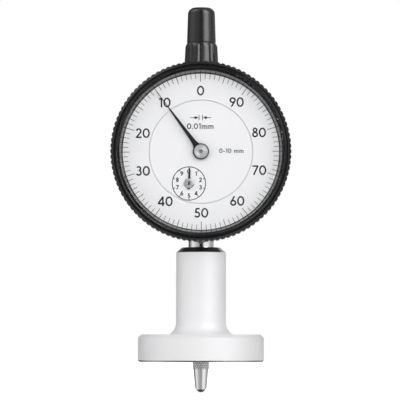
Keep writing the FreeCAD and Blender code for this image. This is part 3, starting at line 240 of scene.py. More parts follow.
def dial_turned(corners: Sequence[Pair], ease: float, segments: int,
                centre: Pair = DIAL_SPOT, swell: Swell | None = None) -> Surface:
    """A shell turned about the dial's line, or one beside it, from the eased corners (radius, y)."""
    return revolved(eased(corners, ease), segments, Axis.DIAL, centre, swell)


def on_axis(
    axis: Axis, centre: Pair, r: np.ndarray, h: np.ndarray, a: np.ndarray
) -> np.ndarray:
    """Points at radius r, height h and angle a round an axis."""
    across, beside = centre[0] + r * np.cos(a), centre[1] + r * np.sin(a)
    order = (across, beside, h) if axis is Axis.UP else (across, h, beside)
    return np.stack(order, axis=-1)


def ribbon(path: np.ndarray, width: np.ndarray | float, front: float, back: float) -> Surface:
    """A flat strip along a path: the path moved by half the width to each side of its direction.

    Args:
        path: points (x, z) along its middle. A path that ends where it starts makes a hoop.
        width: the strip's width, or one for each point.
        front: its front face, as y.
        back: its rear face, as y.

    Returns:
        The closed strip.
    """
    hoop = len(path) > 3 and bool(np.allclose(path[0], path[-1]))
    middle = path[:-1] if hoop else path
    if hoop:
        along = np.roll(middle, -1, axis=0) - np.roll(middle, 1, axis=0)
    else:
        along = np.gradient(middle, axis=0)
    along /= np.linalg.norm(along, axis=1)[:, None]
    half = np.broadcast_to(np.asarray(width, float) / 2, (len(middle),))[:, None]
    side = np.stack([-along[:, 1], along[:, 0]], axis=-1) * half
    left, right = middle + side, middle - side
    corners = [(left, back), (left, front), (right, front), (right, back)]
    points = np.stack(
        [np.column_stack([edge[:, 0], np.full(len(edge), y), edge[:, 1]]) for edge, y in corners], axis=1
    )
    rows = len(middle)
    quads = grid_quads(rows, 4, hoop, True)
    if not hoop:
        last = 4 * (rows - 1)
        quads = np.vstack([quads, [[3, 2, 1, 0]], [[last, last + 1, last + 2, last + 3]]])
    return Surface(points.reshape(-1, 3), quads).facing_out()


def spokes(angles: np.ndarray, inner: np.ndarray, outer: float, widths: np.ndarray, spot: Pair,
           layer: Pair) -> Surface:
    """Radial strips round a spot: each is a ribbon between two radii, clockwise from the top.

    Args:
        angles: angle of each strip, in radians.
        inner: inner radius of each strip.
        outer: outer radius of all of them.
        widths: width of each strip.
        spot: centre, as (x, z).
        layer: front and rear face, as y.

    Returns:
        The closed strips.
    """
    ahead = np.stack([np.sin(angles), np.cos(angles)], axis=-1)
    return joined([ribbon(np.asarray(spot) + np.array([[start], [outer]]) * way, width, *layer)
                   for way, start, width in zip(ahead, inner, widths)])


def blade(along: np.ndarray, half: np.ndarray, front: float, back: float, edge: float,
          spot: Pair) -> Surface:
    """A hand's blade that points up from a spot: an eight-sided section with eased edges, carried along.

    Args:
        along: distances from the spot.
        half: half width at each distance.
        front: front face, as y.
        back: rear face, as y.
        edge: width of its eased edges.
        spot: the hand's centre, as (x, z).

    Returns:
        The closed blade.
    """
    half = np.asarray(half, float)
    ease = np.minimum(edge, half * 0.6)
    step = np.full_like(half, min(edge, (back - front) * 0.4))
    x = [-half, -half, -half + ease, half - ease, half, half, half - ease, -half + ease]
    y = [np.full_like(half, back) - step, front + step, np.full_like(half, front), np.full_like(half, front),
         front + step, back - step, np.full_like(half, back), np.full_like(half, back)]
    section = np.stack([np.stack(x, axis=1) + spot[0], np.stack(y, axis=1),
                        np.repeat((along + spot[1])[:, None], 8, axis=1)], axis=-1)
    ends = np.array([(spot[0], (front + back) / 2, tip + spot[1]) for tip in along[[0, -1]]])
    return capped(section, ends)


# Finishes


@dataclass
class Graph:
    """The node tree of a material or of the world, with short ways to add and join nodes."""

    owner: Material | bpy.types.World

    @classmethod
    def named(cls, name: str) -> Graph:
        """A new material with an empty tree."""
        return cls.cleared(bpy.data.materials.new(name))

    @classmethod
    def cleared(cls, owner: Material | bpy.types.World) -> Graph:
        """The emptied tree of a material or of the world."""
        owner.use_nodes = True
        owner.node_tree.nodes.clear()
        return cls(owner)

    def add(self, kind: str, **values: object) -> bpy.types.Node:
        """Adds a node. A value is a number or a socket for an input, or a setting of the node.

        Args:
            kind: the node's type.
            values: inputs by name, with _ for a space, or by number as in0, in1, and settings.

        Returns:
            The node.
        """
        node = self.owner.node_tree.nodes.new(kind)
        for name, value in values.items():
            if hasattr(node, name):
                setattr(node, name, value)
                continue
            key = int(name[2:]) if name[:2] == "in" and name[2:].isdigit() else name.replace("_", " ")
            target = node.inputs[key]
            if isinstance(value, Socket):
                self.owner.node_tree.links.new(value, target)
            else:
                target.default_value = value
        return node

    def sum(self, kind: str, a: object, b: object) -> Socket:
        """The result of one operation on two numbers."""
        return self.add("ShaderNodeMath", operation=kind, in0=a, in1=b).outputs[0]

    def place(self) -> Socket:
        """The point on the piece, in the object's own coordinates."""
        return self.add("ShaderNodeTexCoord").outputs["Object"]

    def turning(self, axis: Axis, lines: float, drift: float = 90.0) -> Socket:
        """Noise that runs in rings round an axis, as a cutter leaves it.

        The noise is read at (radius * lines, height * lines, x * drift).

        Args:
            axis: the axis of the rings.
            lines: how many for each metre.
            drift: how fast they change along the ring.
        """
        x, y, z = self.parts()
        if axis is Axis.DIAL:
            y, z = self.sum("SUBTRACT", z, DIAL_HEIGHT * MM), y
        radius = self.reach(x, y)
        spot = self.add("ShaderNodeCombineXYZ", in0=self.sum("MULTIPLY", radius, lines),
                        in1=self.sum("MULTIPLY", z, lines), in2=self.sum("MULTIPLY", x, drift))
        noise = self.add("ShaderNodeTexNoise", Vector=spot.outputs[0], Scale=1.0, Detail=3.0, Roughness=0.6)
        return noise.outputs[0]

    def grain(self, scale: float, detail: float = 4.0) -> Socket:
        """Even noise over the piece."""
        return self.add("ShaderNodeTexNoise", Vector=self.place(), Scale=scale, Detail=detail).outputs[0]

    def spread(self, value: Socket, low: float, high: float) -> Socket:
        """A noise value spread between two numbers."""
        return self.add("ShaderNodeMapRange", Value=value, From_Min=0.3, From_Max=0.7, To_Min=low,
                        To_Max=high).outputs[0]

    def tinted(self, value: Socket, dark: Colour, light: Colour) -> Socket:
        """A colour between two, by a noise value."""
        return self.mixed(self.spread(value, 0.0, 1.0), dark, light)

    def mixed(self, share: Socket | float, low: object, high: object) -> Socket:
        """A colour between two by a share. Each is a colour or a socket."""
        mix = self.add("ShaderNodeMix", data_type="RGBA")
        links = self.owner.node_tree.links
        for slot, value in ((mix.inputs[0], share), (mix.inputs[6], low), (mix.inputs[7], high)):
            if isinstance(value, Socket):
                links.new(value, slot)
            else:
                slot.default_value = value if isinstance(value, float) else (*value, 1.0)
        return mix.outputs[2]

    def step(self, value: Socket, start: float, end: float, low: float = 0.0,
             high: float = 1.0) -> Socket:
        """A number that goes from low to high, smoothly, while the value goes from start to end."""
        node = self.add("ShaderNodeMapRange", interpolation_type="SMOOTHSTEP", Value=value, From_Min=start,
                        From_Max=end, To_Min=low, To_Max=high)
        return node.outputs[0]

    def parts(self) -> list[Socket]:
        """The piece's own x, y and z, in metres."""
        return list(self.add("ShaderNodeSeparateXYZ", in0=self.place()).outputs)

    def reach(self, a: Socket, b: Socket) -> Socket:
        """The square root of a a + b b."""
        return self.sum("POWER", self.sum("ADD", self.sum("MULTIPLY", a, a), self.sum("MULTIPLY", b, b)), 0.5)

    def around(self, value: Socket, middle: float, reach: float) -> Socket:
        """A noise value spread evenly to both sides of a number."""
        return self.spread(value, middle - reach, middle + reach)

    def finish(self, shader: bpy.types.Node) -> Material:
        """Joins a shader to the output."""
        self.add("ShaderNodeOutputMaterial", Surface=shader.outputs[0])
        return self.owner

    def principled(self, height: Socket, depth: float, strength: float = 1.0,
                   **values: object) -> Material:
        """The material of a principled shader with a bump.

        Args:
            height: the bump's height, between 0 and 1.
            depth: its depth, in metres.
            strength: how much of it shows.
            values: the shader's inputs.
        """
        bump = self.add("ShaderNodeBump", Height=height, Distance=depth, Strength=strength)
        return self.finish(self.add("ShaderNodeBsdfPrincipled", Normal=bump.outputs[0], **values))


def darker(colour: Colour, share: float) -> Colour:
    """A colour multiplied by a share."""
    return (colour[0] * share, colour[1] * share, colour[2] * share)


@dataclass(frozen=True)
class TurnedMetal:
    """Metal with fine rings from turning, or with an even grain where there is no axis."""

    name: str
    colour: Colour
    roughness: float
    axis: Axis | None = None
    lines: float = 9000.0
    depth: float = 1.5e-6
    unevenness: float = 0.06

    def make(self) -> Material:
        """The material."""
        graph = Graph.named(self.name)
        mark = graph.turning(self.axis, self.lines) if self.axis else graph.grain(self.lines / 3)
        cloud = graph.grain(180.0, 2.0)
        rough = graph.sum("ADD", graph.around(mark, 0.0, self.unevenness / 2),
                          graph.around(cloud, self.roughness, self.unevenness / 3))
        colour = graph.tinted(cloud, darker(self.colour, 0.975), self.colour)
        return graph.principled(mark, self.depth, Base_Color=colour, Metallic=1.0, Roughness=rough)


@dataclass(frozen=True)
class BaseChrome:
    """Satin chrome on the base: even on the barrel and the flange, smooth and bare on its two chamfers, with
    a painted dark reflection on the foot chamfer.
    """

    name: str
    colour: Colour = (0.87, 0.865, 0.877)
    roughness: float = 0.52
    metallic: float = 0.1
    chamfer_low: float = 34.75
    foot_high: float = 0.5
    border: float = 0.05
    bright: float = 0.2
    foot_shade: float = 0.42
    lines: float = 9000.0
    depth: float = 2.5e-6

    def make(self) -> Material:
        """The material."""
        graph = Graph.named(self.name)
        height = graph.parts()[2]
        top = graph.step(height, (self.chamfer_low - self.border) * MM, (self.chamfer_low + self.border) * MM)
        foot = graph.step(height, (self.foot_high + self.border) * MM, (self.foot_high - self.border) * MM)
        edge = graph.sum("MAXIMUM", top, foot)
        mark = graph.turning(Axis.UP, self.lines)
        cloud = graph.grain(180.0, 2.0)
        even = graph.sum("ADD", graph.around(mark, 0.0, 0.03), graph.around(cloud, self.roughness, 0.02))
        rough = graph.sum("ADD", graph.sum("MULTIPLY", even, graph.sum("SUBTRACT", 1.0, edge)),
                          graph.sum("MULTIPLY", edge, self.bright))
        metal = graph.sum("ADD", self.metallic, graph.sum("MULTIPLY", edge, 1.0 - self.metallic))
        colour = graph.tinted(cloud, darker(self.colour, 0.98), self.colour)
        # Painted shade: the foot chamfer's colour is darkened to stand in for the dark floor that it
        # reflects.
        colour = graph.mixed(foot, colour, darker(self.colour, self.foot_shade))
        return graph.principled(mark, self.depth, Base_Color=colour, Metallic=metal, Roughness=rough)


@dataclass(frozen=True)
class PointSteel:
    """Polished steel, with painted shade darkening the cuts of the knurl."""

    name: str
    colour: Colour = (0.9, 0.9, 0.905)
    roughness: float = 0.13
    knurl_r: float = 2.55
    knurl_cut: float = 0.2
    knurl_low: float = -2.2
    dirt_shade: float = 0.05
    dirt_roughness: float = 0.3

    def make(self) -> Material:
        """The material."""
        graph = Graph.named(self.name)
        x, y, z = graph.parts()
        deep = graph.step(graph.reach(x, y), (self.knurl_r - 0.3 * self.knurl_cut) * MM,
                          (self.knurl_r - 0.6 * self.knurl_cut) * MM)
        collar = graph.step(z, (self.knurl_low - 0.05) * MM, (self.knurl_low + 0.15) * MM)
        # Painted shade: the knurl's cuts in the collar are darkened in colour and made rougher.
        knurl_cut_shade = graph.sum("MULTIPLY", deep, collar)
        mark = graph.turning(Axis.UP, 12000.0)
        rough = graph.sum("ADD", graph.around(mark, self.roughness, 0.02),
                          graph.sum("MULTIPLY", knurl_cut_shade, self.dirt_roughness))
        clean = graph.tinted(graph.grain(300.0, 2.0), darker(self.colour, 0.97), self.colour)
        colour = graph.mixed(knurl_cut_shade, clean, darker(self.colour, self.dirt_shade))
        return graph.principled(mark, 6e-7, Base_Color=colour, Metallic=1.0, Roughness=rough)


@dataclass(frozen=True)
class Coating:
    """Lacquer, paint, hard plastic or rubber: a colour that drifts between two shades, and a fine grain.

    With rings, its bump is the mark of turning round the dial's line instead of the grain.
    """

    name: str
    colour: Colour
    roughness: Pair
    shades: Pair = (0.85, 1.15)
    ior: float = 1.5
    grain: float = 2600.0
    cloud: float = 240.0
    depth: float = 1.0e-6
    strength: float = 1.0
    rings: float = 0.0

    def make(self) -> Material:
        """The material."""
        graph = Graph.named(self.name)
        fine = graph.grain(self.grain)
        dark, light = (darker(self.colour, shade) for shade in self.shades)
        colour = graph.tinted(graph.grain(self.cloud, 2.0), dark, light)
        mark = graph.turning(Axis.DIAL, self.rings) if self.rings else fine
        return graph.principled(mark, self.depth, self.strength, Base_Color=colour, IOR=self.ior,
                                Roughness=graph.spread(fine, *self.roughness))


@dataclass(frozen=True)
class Window:
    """A clear crystal: see-through, with its gloss by Fresnel."""

    name: str
    ior: float = 1.5
    clear: Colour = (0.994, 0.995, 0.996)

    def make(self) -> Material:
        """The material."""
        graph = Graph.named(self.name)
        see = graph.add("ShaderNodeBsdfTransparent", Color=(*self.clear, 1.0))
        haze = graph.spread(graph.grain(400.0, 2.0), 0.012, 0.02)
        gloss = graph.add("ShaderNodeBsdfGlossy", Color=(1.0, 1.0, 1.0, 1.0), Roughness=haze)
        outside = graph.sum("SUBTRACT", 1.0, graph.add("ShaderNodeNewGeometry").outputs["Backfacing"])
        shine = graph.sum("MULTIPLY", graph.add("ShaderNodeFresnel", IOR=self.ior).outputs[0], outside)
        mix = graph.add("ShaderNodeMixShader", in0=shine, in1=see.outputs[0], in2=gloss.outputs[0])
        return graph.finish(mix)


class Finish(Enum):
    """Every finish on the gauge, with what makes it."""

    SATIN_CHROME = BaseChrome("satin_chrome")
    POLISHED = TurnedMetal("polished_steel", (0.86, 0.86, 0.865), 0.07, Axis.UP, 16000.0, 4e-7, 0.03)
    CASE_SATIN = TurnedMetal("case_satin", (0.78, 0.78, 0.79), 0.36, Axis.DIAL, depth=2.5e-6)
    CASE_BLACK = Coating("case_black", (0.011, 0.011, 0.0115), (0.36, 0.448), ior=1.46, grain=1800.0,
                         depth=4e-6)
    BEZEL_BLACK = Coating("bezel_black", (0.005, 0.005, 0.0053), (0.198, 0.2464), depth=6e-5, rings=2600.0)
    CAP_BLACK = Coating("cap_black", (0.012, 0.012, 0.0125), (0.225, 0.28), ior=1.6)
    WALL_GLOSS = Coating("bezel_wall_gloss", (0.012, 0.012, 0.012), (0.045, 0.056), ior=2.1, depth=2e-7)
    DIAL_WHITE = Coating("dial_white", (0.94, 0.936, 0.946), (0.47, 0.53), (0.985, 1.0), 1.45, 4200.0, 90.0,
                         2e-6, 0.5)
    INK = Coating("dial_ink", (0.004, 0.004, 0.0045), (0.47, 0.53), (0.985, 1.0), 1.45, 4200.0, 90.0,
                  1e-6, 0.5)
    HAND_BLACK = Coating("hand_black", (0.016, 0.016, 0.017), (0.342, 0.4256), ior=1.45)
    HUB_SILVER = TurnedMetal("hub_silver", (0.9, 0.9, 0.905), 0.46, Axis.DIAL, 5200.0, 9e-6)
    BRASS = TurnedMetal("brass", (0.80, 0.62, 0.30), 0.3)
    STEEL = TurnedMetal("steel", (0.66, 0.66, 0.67), 0.26)
    DARK_STEEL = TurnedMetal("dark_steel", (0.16, 0.16, 0.165), 0.34)
    SPRING_STEEL = TurnedMetal("spring_steel", (0.55, 0.57, 0.6), 0.22)
    POINT_STEEL = PointSteel("point_steel")
    BALL_STEEL = TurnedMetal("ball_steel", (0.12, 0.12, 0.123), 0.12, depth=3e-7)
    RUBBER = Coating("seal_rubber", (0.012, 0.012, 0.013), (0.62, 0.78), (0.8, 1.3), 1.45, 5200.0,
                     300.0, 6e-6)
    CRYSTAL = Window("crystal")

    @functools.cached_property
    def material(self) -> Material:
        """The material, made once."""
        return self.value.make()


# Pieces


def add_piece(
    name: str,
    shell: Surface,
    body: Body,
    finish: Finish,
    replaces: Sequence[str] = (),
    sharp: float = 32.0,
) -> bpy.types.Object:
    """Makes a piece of a shell and joins it to its body.

    Args:
        name: the piece's name.
        shell: its surface in millimetres.
        body: the body that it rides on.
        finish: its finish.
        replaces: the solids that it stands for.
        sharp: edges over this angle, in degrees, stay sharp.

    Returns:
        The piece.
    """
    mesh = bpy.data.meshes.new(name)
    mesh.from_pydata((shell.points * MM).tolist(), [], shell.quads.tolist() + shell.tris.tolist())
    mesh.polygons.foreach_set("use_smooth", np.ones(len(mesh.polygons), bool))
    mesh.set_sharp_from_angle(angle=math.radians(sharp))
    mesh.materials.append(finish.material)
    mesh.validate()
    piece = bpy.data.objects.new(name, mesh)
    bpy.context.scene.collection.objects.link(piece)
    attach(piece, body.value)
    if replaces:
        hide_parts(*replaces)
    low, high = shell.points.min(axis=0), shell.points.max(axis=0)
    log.info("%s: %d faces, %s to %s mm", name, len(mesh.polygons), np.round(low, 2), np.round(high, 2))
    return piece


@dataclass
class Cap:
    """The closed cap over the spindle's top: a tapered barrel over a fluted skirt."""

    low: float = 93.0
    skirt_r: float = 5.475
    skirt_top_r: float = 5.1
    skirt_top: float = 100.4
    body_r: float = 4.6
    body_low: float = 101.7
    body_top_r: float = 4.275
    body_top: float = 111.4
    flat_r: float = 3.1
    flat: float = 112.7
    crown: float = 113.0
    bore_r: float = 2.8
    roof: float = 111.3
    mouth_r: float = 4.25
    mouth: float = 94.0
    flutes: int = 9
    flute_radius: float = 1.5
    flute_depth: float = 0.42
    flute_lean: float = 2.0
    flute_top: float = 101.35
    flute_end: float = 0.25

    def profile(self) -> np.ndarray:
        """Up the outside from the mouth, over the crown and down the bore."""
        neck_r = self.body_r - 0.12
        outside = filled(eased([
            (self.mouth_r, self.low), (self.skirt_r, self.low), (self.skirt_top_r, self.skirt_top),
            (self.body_r + 0.03, self.body_low - 0.32), (neck_r, self.body_low - 0.2),
            (neck_r, self.body_low - 0.06), (self.body_r, self.body_low + 0.06),
            (self.body_top_r, self.body_top), (self.flat_r + 0.72, self.flat - 0.52),
            (self.flat_r, self.flat), (self.flat_r - 0.3, self.flat + 0.13),
            (1.2, self.crown - 0.03), (0.0, self.crown),
        ], [0.12, 0.16, 0.05, 0.04, 0.04, 0.06, 0.35, 0.35, 0.12, 0.1, 0.3]), 0.4)
        inside = [(0.0, self.roof), (self.bore_r, self.roof), (self.bore_r, self.mouth + 5.0),
                  (self.mouth_r, self.mouth + 4.0), (self.mouth_r, self.low)]
        return np.vstack([inside, outside[1:]])

    def fluted(self, r: np.ndarray, h: np.ndarray, a: np.ndarray) -> np.ndarray:
        """The smaller of the turned radius and the flutes' radius.

        A cutter of radius R stands at distance c. At angle d from its middle, its near side is at
        c cos d - sqrt(R^2 - c^2 sin^2 d). The flute fades out in the last bit of the skirt.
        """
        step = 2 * math.pi / self.flutes
        first = -math.pi / 2 - math.radians(self.flute_lean)
        d = (a - first + step / 2) % step - step / 2
        slope = (self.skirt_top_r - self.skirt_r) / (self.skirt_top - self.low)
        skirt = self.skirt_r + slope * (h - self.low)
        c = skirt + self.flute_radius - self.flute_depth
        inside = self.flute_radius**2 - (c * np.sin(d)) ** 2
        near = np.where(inside > 0, c * np.cos(d) - np.sqrt(np.maximum(inside, 0)), 99.0)
        near = np.where(np.abs(d) < 1.0, near, 99.0)
        near = near + np.clip((h - self.flute_top) / self.flute_end, 0, 1)
        outer = r > self.mouth_r + 0.02
        return np.where(outer & (h < self.flute_top + self.flute_end), np.minimum(r, near), r)

    def build(self) -> None:
        """Makes the cap."""
        shell = revolved(self.profile(), 432, Axis.UP, swell=self.fluted)
        add_piece("cap_shell", shell, Body.CASE, Finish.CAP_BLACK, ["dust_cap"], 40.0)


@dataclass
class Bezel:
    """The black knurled bezel and its glossy window wall."""

    back: float = -7.9
    tip_r: float = 28.5
    bore_r: float = 24.85
    rim_front: float = -16.2
    rim_slope: float = 1.1
    rim_r: float = 27.45
    groove: Pair = (27.04, 27.3)
    groove_y: float = -15.8
    lip: tuple[float, float, float] = (26.25, 26.55, 26.9)
    front: float = -16.5
    seat_y: float = -14.45
    wall_top_r: float = 25.6
    wall_foot_r: float = 24.8
    foot_r: float = 24.65
    dial_y: float = -11.6
    foot_y: float = -11.72
    knurls: int = 100
    knurl_depth: float = 0.32
    knurl_gap: float = 0.22
    knurl_ramp: float = 0.34
    knurl_wave: float = 0.02
    knurl_foot_r: float = 27.0
    dull_foot: float = 0.25
    back_chamfer: float = 0.7

    def profile(self) -> np.ndarray:
        """Round the section: rear face, rim, groove, lip, seat, window wall and bore, as (r, y)."""
        return filled(eased([
            (self.bore_r, self.back), (self.tip_r - self.back_chamfer, self.back),
            (self.tip_r, self.back - self.back_chamfer), (self.tip_r, self.rim_front + self.rim_slope),
            (self.rim_r, self.rim_front), (self.groove[1], self.groove_y), (self.groove[0], self.groove_y),
            (self.lip[2], self.front), (self.lip[1], self.front), (self.lip[0], self.front + 0.3),
            (self.lip[0], self.seat_y), (self.wall_top_r, self.seat_y), (self.wall_foot_r, self.foot_y),
            (self.foot_r, self.foot_y), (self.foot_r, self.dial_y), (self.bore_r, self.dial_y),
            (self.bore_r, self.back),
        ], [0.08, 0.15, 0.15, 0.12, 0.08, 0.08, 0.1, 0.1, 0.05] + [0.03] * 6, 4), 1.0)

    def knurled(self, r: np.ndarray, h: np.ndarray, a: np.ndarray) -> np.ndarray:
        """The smaller of the turned radius and the knurl's radius.

        The knurl is tip_r - depth * w - wave * (1 + cos), where w goes from 0 on a tooth to 1 in a gap,
        with flat tops and gaps joined by a smooth step.
        """
        share = (a * self.knurls / (2 * math.pi)) % 1.0
        from_gap = np.abs(share - 0.5) * 2
        t = np.clip((from_gap - self.knurl_gap) / self.knurl_ramp, 0, 1)
        gap = 1 - t * t * (3 - 2 * t)
        knurl = self.tip_r - self.knurl_depth * gap - self.knurl_wave * (1 + np.cos(2 * math.pi * share))
        foot = self.knurl_foot_r
        return np.where(r > foot, np.minimum(r, np.maximum(knurl, foot)), r)

    def build(self) -> None:
        """Makes the bezel, with the wall's gloss on its cone down to a dull band at its foot, a painted
        shadow line at the dial's edge.
        """
        shell = revolved(self.profile(), 12 * self.knurls, Axis.DIAL, DIAL_SPOT, self.knurled)
        piece = add_piece("bezel_ring", shell, Body.BEZEL, Finish.BEZEL_BLACK, ["bezel"], 34.0)
        piece.data.materials.append(Finish.WALL_GLOSS.material)
        middle = shell.points[shell.quads].mean(axis=1)
        reach = np.hypot(middle[:, 0], middle[:, 2] - DIAL_HEIGHT)
        # Painted shadow: the wall's lowest band keeps the dull black, so it shows as a dark line at the
        # dial's edge.
        wall = (reach < self.wall_top_r - 0.01) & (reach > self.wall_foot_r + self.dull_foot)
        wall &= (middle[:, 1] < self.foot_y) & (middle[:, 1] > self.seat_y)
        piece.data.polygons.foreach_set("material_index", wall.astype(np.int32))


@dataclass
class Crystal:
    """The flat clear crystal with a chamfered edge."""

    radius: float = 26.24
    back: float = -14.7
    front: float = -16.0
    chamfer: float = 0.25

    def build(self) -> None:
        """Makes the crystal."""
        shell = dial_turned([
            (0.0, self.back), (self.radius, self.back), (self.radius, self.front + self.chamfer),
            (self.radius - self.chamfer, self.front), (0.0, self.front),
        ], 0.06, 240)
        add_piece("crystal_disc", shell, Body.BEZEL, Finish.CRYSTAL, ["crystal"])


def line(*points: Pair) -> np.ndarray:
    """A straight stroke's middle line."""
    return np.asarray(points, float)


def arc(x: float, z: float, rx: float, rz: float, start: float, end: float) -> np.ndarray:
    """A curved stroke's middle line: (x + rx cos t, z + rz sin t), with t in degrees."""
    t = np.radians(np.linspace(start, end, 29))
    return np.column_stack([x + rx * np.cos(t), z + rz * np.sin(t)])


# Plain numerals one unit high, as (width, strokes). A stroke is about a seventh of the height wide.
GLYPHS: dict[str, tuple[float, tuple[np.ndarray, ...]]] = {
    "0": (0.74, (arc(0.37, 0.5, 0.296, 0.426, 0, 360),)),
    "1": (0.40, (line((0.275, 0.0), (0.275, 1.0)), line((0.02, 0.845), (0.14, 0.872), (0.262, 0.955)))),
    "2": (0.66, (arc(0.325, 0.705, 0.225, 0.221, 172, -34), line((0.525, 0.60), (0.09, 0.06)),
                 line((0.02, 0.074), (0.63, 0.074)))),
    "3": (0.64, (arc(0.30, 0.735, 0.185, 0.191, 152, -90), arc(0.30, 0.309, 0.235, 0.235, 90, -155))),
    "4": (0.72, (line((0.525, 0.0), (0.525, 1.0)), line((0.52, 0.94), (0.06, 0.29)),
                 line((0.02, 0.262), (0.70, 0.262)))),
    "5": (0.64, (line((0.17, 0.926), (0.56, 0.926)), line((0.215, 0.95), (0.135, 0.50)),
                 arc(0.29, 0.318, 0.25, 0.244, 128, -152))),
    "6": (0.66, (arc(0.33, 0.30, 0.245, 0.226, 0, 360), line((0.125, 0.42), (0.46, 0.99)))),
    "7": (0.64, (line((0.03, 0.926), (0.62, 0.926)), line((0.575, 0.93), (0.15, 0.005)))),
    "8": (0.62, (arc(0.31, 0.745, 0.17, 0.181, 0, 360), arc(0.31, 0.292, 0.225, 0.218, 0, 360))),
    "9": (0.66, (arc(0.33, 0.70, 0.245, 0.226, 0, 360), line((0.535, 0.58), (0.20, 0.01)))),
    ".": (0.24, (line((0.12, 0.0), (0.12, 0.15)),)),
    "-": (0.46, (line((0.05, 0.38), (0.41, 0.38)),)),
    " ": (0.34, ()),
    "m": (1.02, (line((0.14, 0.0), (0.14, 0.66)), arc(0.335, 0.43, 0.19, 0.17, 175, 0),
                 line((0.525, 0.0), (0.525, 0.44)), arc(0.72, 0.43, 0.195, 0.17, 180, 0),
                 line((0.915, 0.0), (0.915, 0.44)))),
}


@dataclass(frozen=True)
class Lettering:
    """A line of plain numerals: its height, stroke, gap between signs and layer in front of the dial."""

    height: float
    stroke: float
    gap: float
    front: float
    back: float
    stretch: float = 1.0

    def width(self, words: str) -> float:
        """The width of a line of signs."""
        widths = [GLYPHS[sign][0] * self.height * self.stretch for sign in words]
        return sum(widths) + self.gap * (len(words) - 1)

    def shells(self, words: str, centre: Pair) -> list[Surface]:
        """The strokes of a line of signs round a centre.

        Args:
            words: the signs.
            centre: the middle of the line, as (x, z).

        Returns:
            One closed strip for each stroke.
        """
        x = centre[0] - self.width(words) / 2
        foot = centre[1] - self.height / 2
        made = []
        for sign in words:
            width, strokes = GLYPHS[sign]
            scale = np.array([self.height * self.stretch, self.height])
            for stroke in strokes:
                made.append(ribbon(stroke * scale + (x, foot), self.stroke, self.front, self.back))
            x += width * self.height * self.stretch + self.gap
        return made


@dataclass
class Dial:
    """The print on the graduated ring and on the fixed disc inside it."""

    ring_y: float = -11.6
    disc_y: float = -11.5
    ink: float = 0.02
    graduation_outer: float = 24.6
    inner: tuple[float, float, float] = (23.0, 22.47, 22.05)
    widths: tuple[float, float, float] = (0.15, 0.18, 0.19)
    numeral_r: float = 19.28
    numeral_height: float = 3.05
    numeral_stroke: float = 0.48
    counter_r: float = 5.25
    counter_stroke: float = 0.26
    counter_numeral_r: float = 3.82
    tick_length: float = 0.62
    tick_width: float = 0.22
    ring_turn: float = 0.41

    def layer(self, sheet: float) -> Pair:
        """The front and rear of the ink on a sheet of the dial."""
        return sheet - self.ink, sheet + self.ink

    def graduations(self) -> Surface:
        """A hundred radial bars, longer at each fifth and longest at each tenth."""
        n = np.arange(100)
        kind = np.where(n % 10 == 0, 2, np.where(n % 5 == 0, 1, 0))
        inner = np.asarray(self.inner)[kind]
        width = np.asarray(self.widths)[kind]
        angles = 2 * math.pi * n / 100 - math.radians(self.ring_turn)
        return spokes(angles, inner, self.graduation_outer, width, DIAL_SPOT, self.layer(self.ring_y))

    def numerals(self) -> Surface:
        """0 to 90, upright, running to the left round the ring."""
        style = Lettering(self.numeral_height, self.numeral_stroke, 0.22, *self.layer(self.ring_y))
        shells = []
        for n in range(10):
            turn = 2 * math.pi * n / 10 + math.radians(self.ring_turn)
            spot = (-self.numeral_r * math.sin(turn), DIAL_HEIGHT + self.numeral_r * math.cos(turn))
            shells += style.shells("0" if n == 0 else str(10 * n), spot)
        return joined(shells)

    def counter_scale(self) -> list[Surface]:
        """The small dial: a circle, ten short bars and the numerals 0 to 9, to the right round it."""
        layer = self.layer(self.disc_y)
        spot = COUNTER_SPOT
        turn = np.linspace(0, 2 * math.pi, 145)
        circle = np.column_stack([np.sin(turn), np.cos(turn)]) * self.counter_r + spot
        angles = 2 * math.pi * np.arange(10) / 10
        ticks = spokes(angles, np.full(10, self.counter_r - self.tick_length), self.counter_r,
                       np.full(10, self.tick_width), spot, layer)
        style = Lettering(1.35, 0.29, 0.1, *layer)
        shells = [ribbon(circle, self.counter_stroke, *layer), ticks]
        r = self.counter_numeral_r
        for k, a in enumerate(angles):
            shells += style.shells(str(k), (spot[0] + r * math.sin(a), spot[1] + r * math.cos(a)))
        return shells

    def legends(self) -> list[Surface]:
        """The unit, the two arrows with their bars, and the range beside the hub."""
        layer = self.layer(self.disc_y)
        shells = Lettering(1.75, 0.3, 0.2, *layer, 1.02).shells("0.01mm", (-0.2, DIAL_HEIGHT + 8.05))
        shells += Lettering(1.4, 0.24, 0.18, *layer).shells("0-10 mm", (9.6, DIAL_HEIGHT + 0.3))
        z = DIAL_HEIGHT + 10.75
        for x in (-0.62, 0.48):
            shells.append(ribbon(np.array([(x, z - 0.8), (x, z + 0.8)]), 0.25, *layer))
        for tail, head, tip in ((-3.3, -2.0, -0.85), (3.15, 1.85, 0.7)):
            shells.append(ribbon(np.array([(tail, z), (head, z)]), 0.22, *layer))
            path = np.array([(head, z), ((head + tip) / 2, z), (tip, z)])
            shells.append(ribbon(path, np.array([1.0, 0.58, 0.06]), *layer))
        return shells

    def build(self) -> None:
        """Makes the print."""
        for name, shell, body in (
            ("graduations", self.graduations(), Body.BEZEL),
            ("numerals", self.numerals(), Body.BEZEL),
            ("counter_scale", joined(self.counter_scale()), Body.CASE),
            ("legends", joined(self.legends()), Body.CASE),
        ):
            add_piece(name, shell, body, Finish.INK)


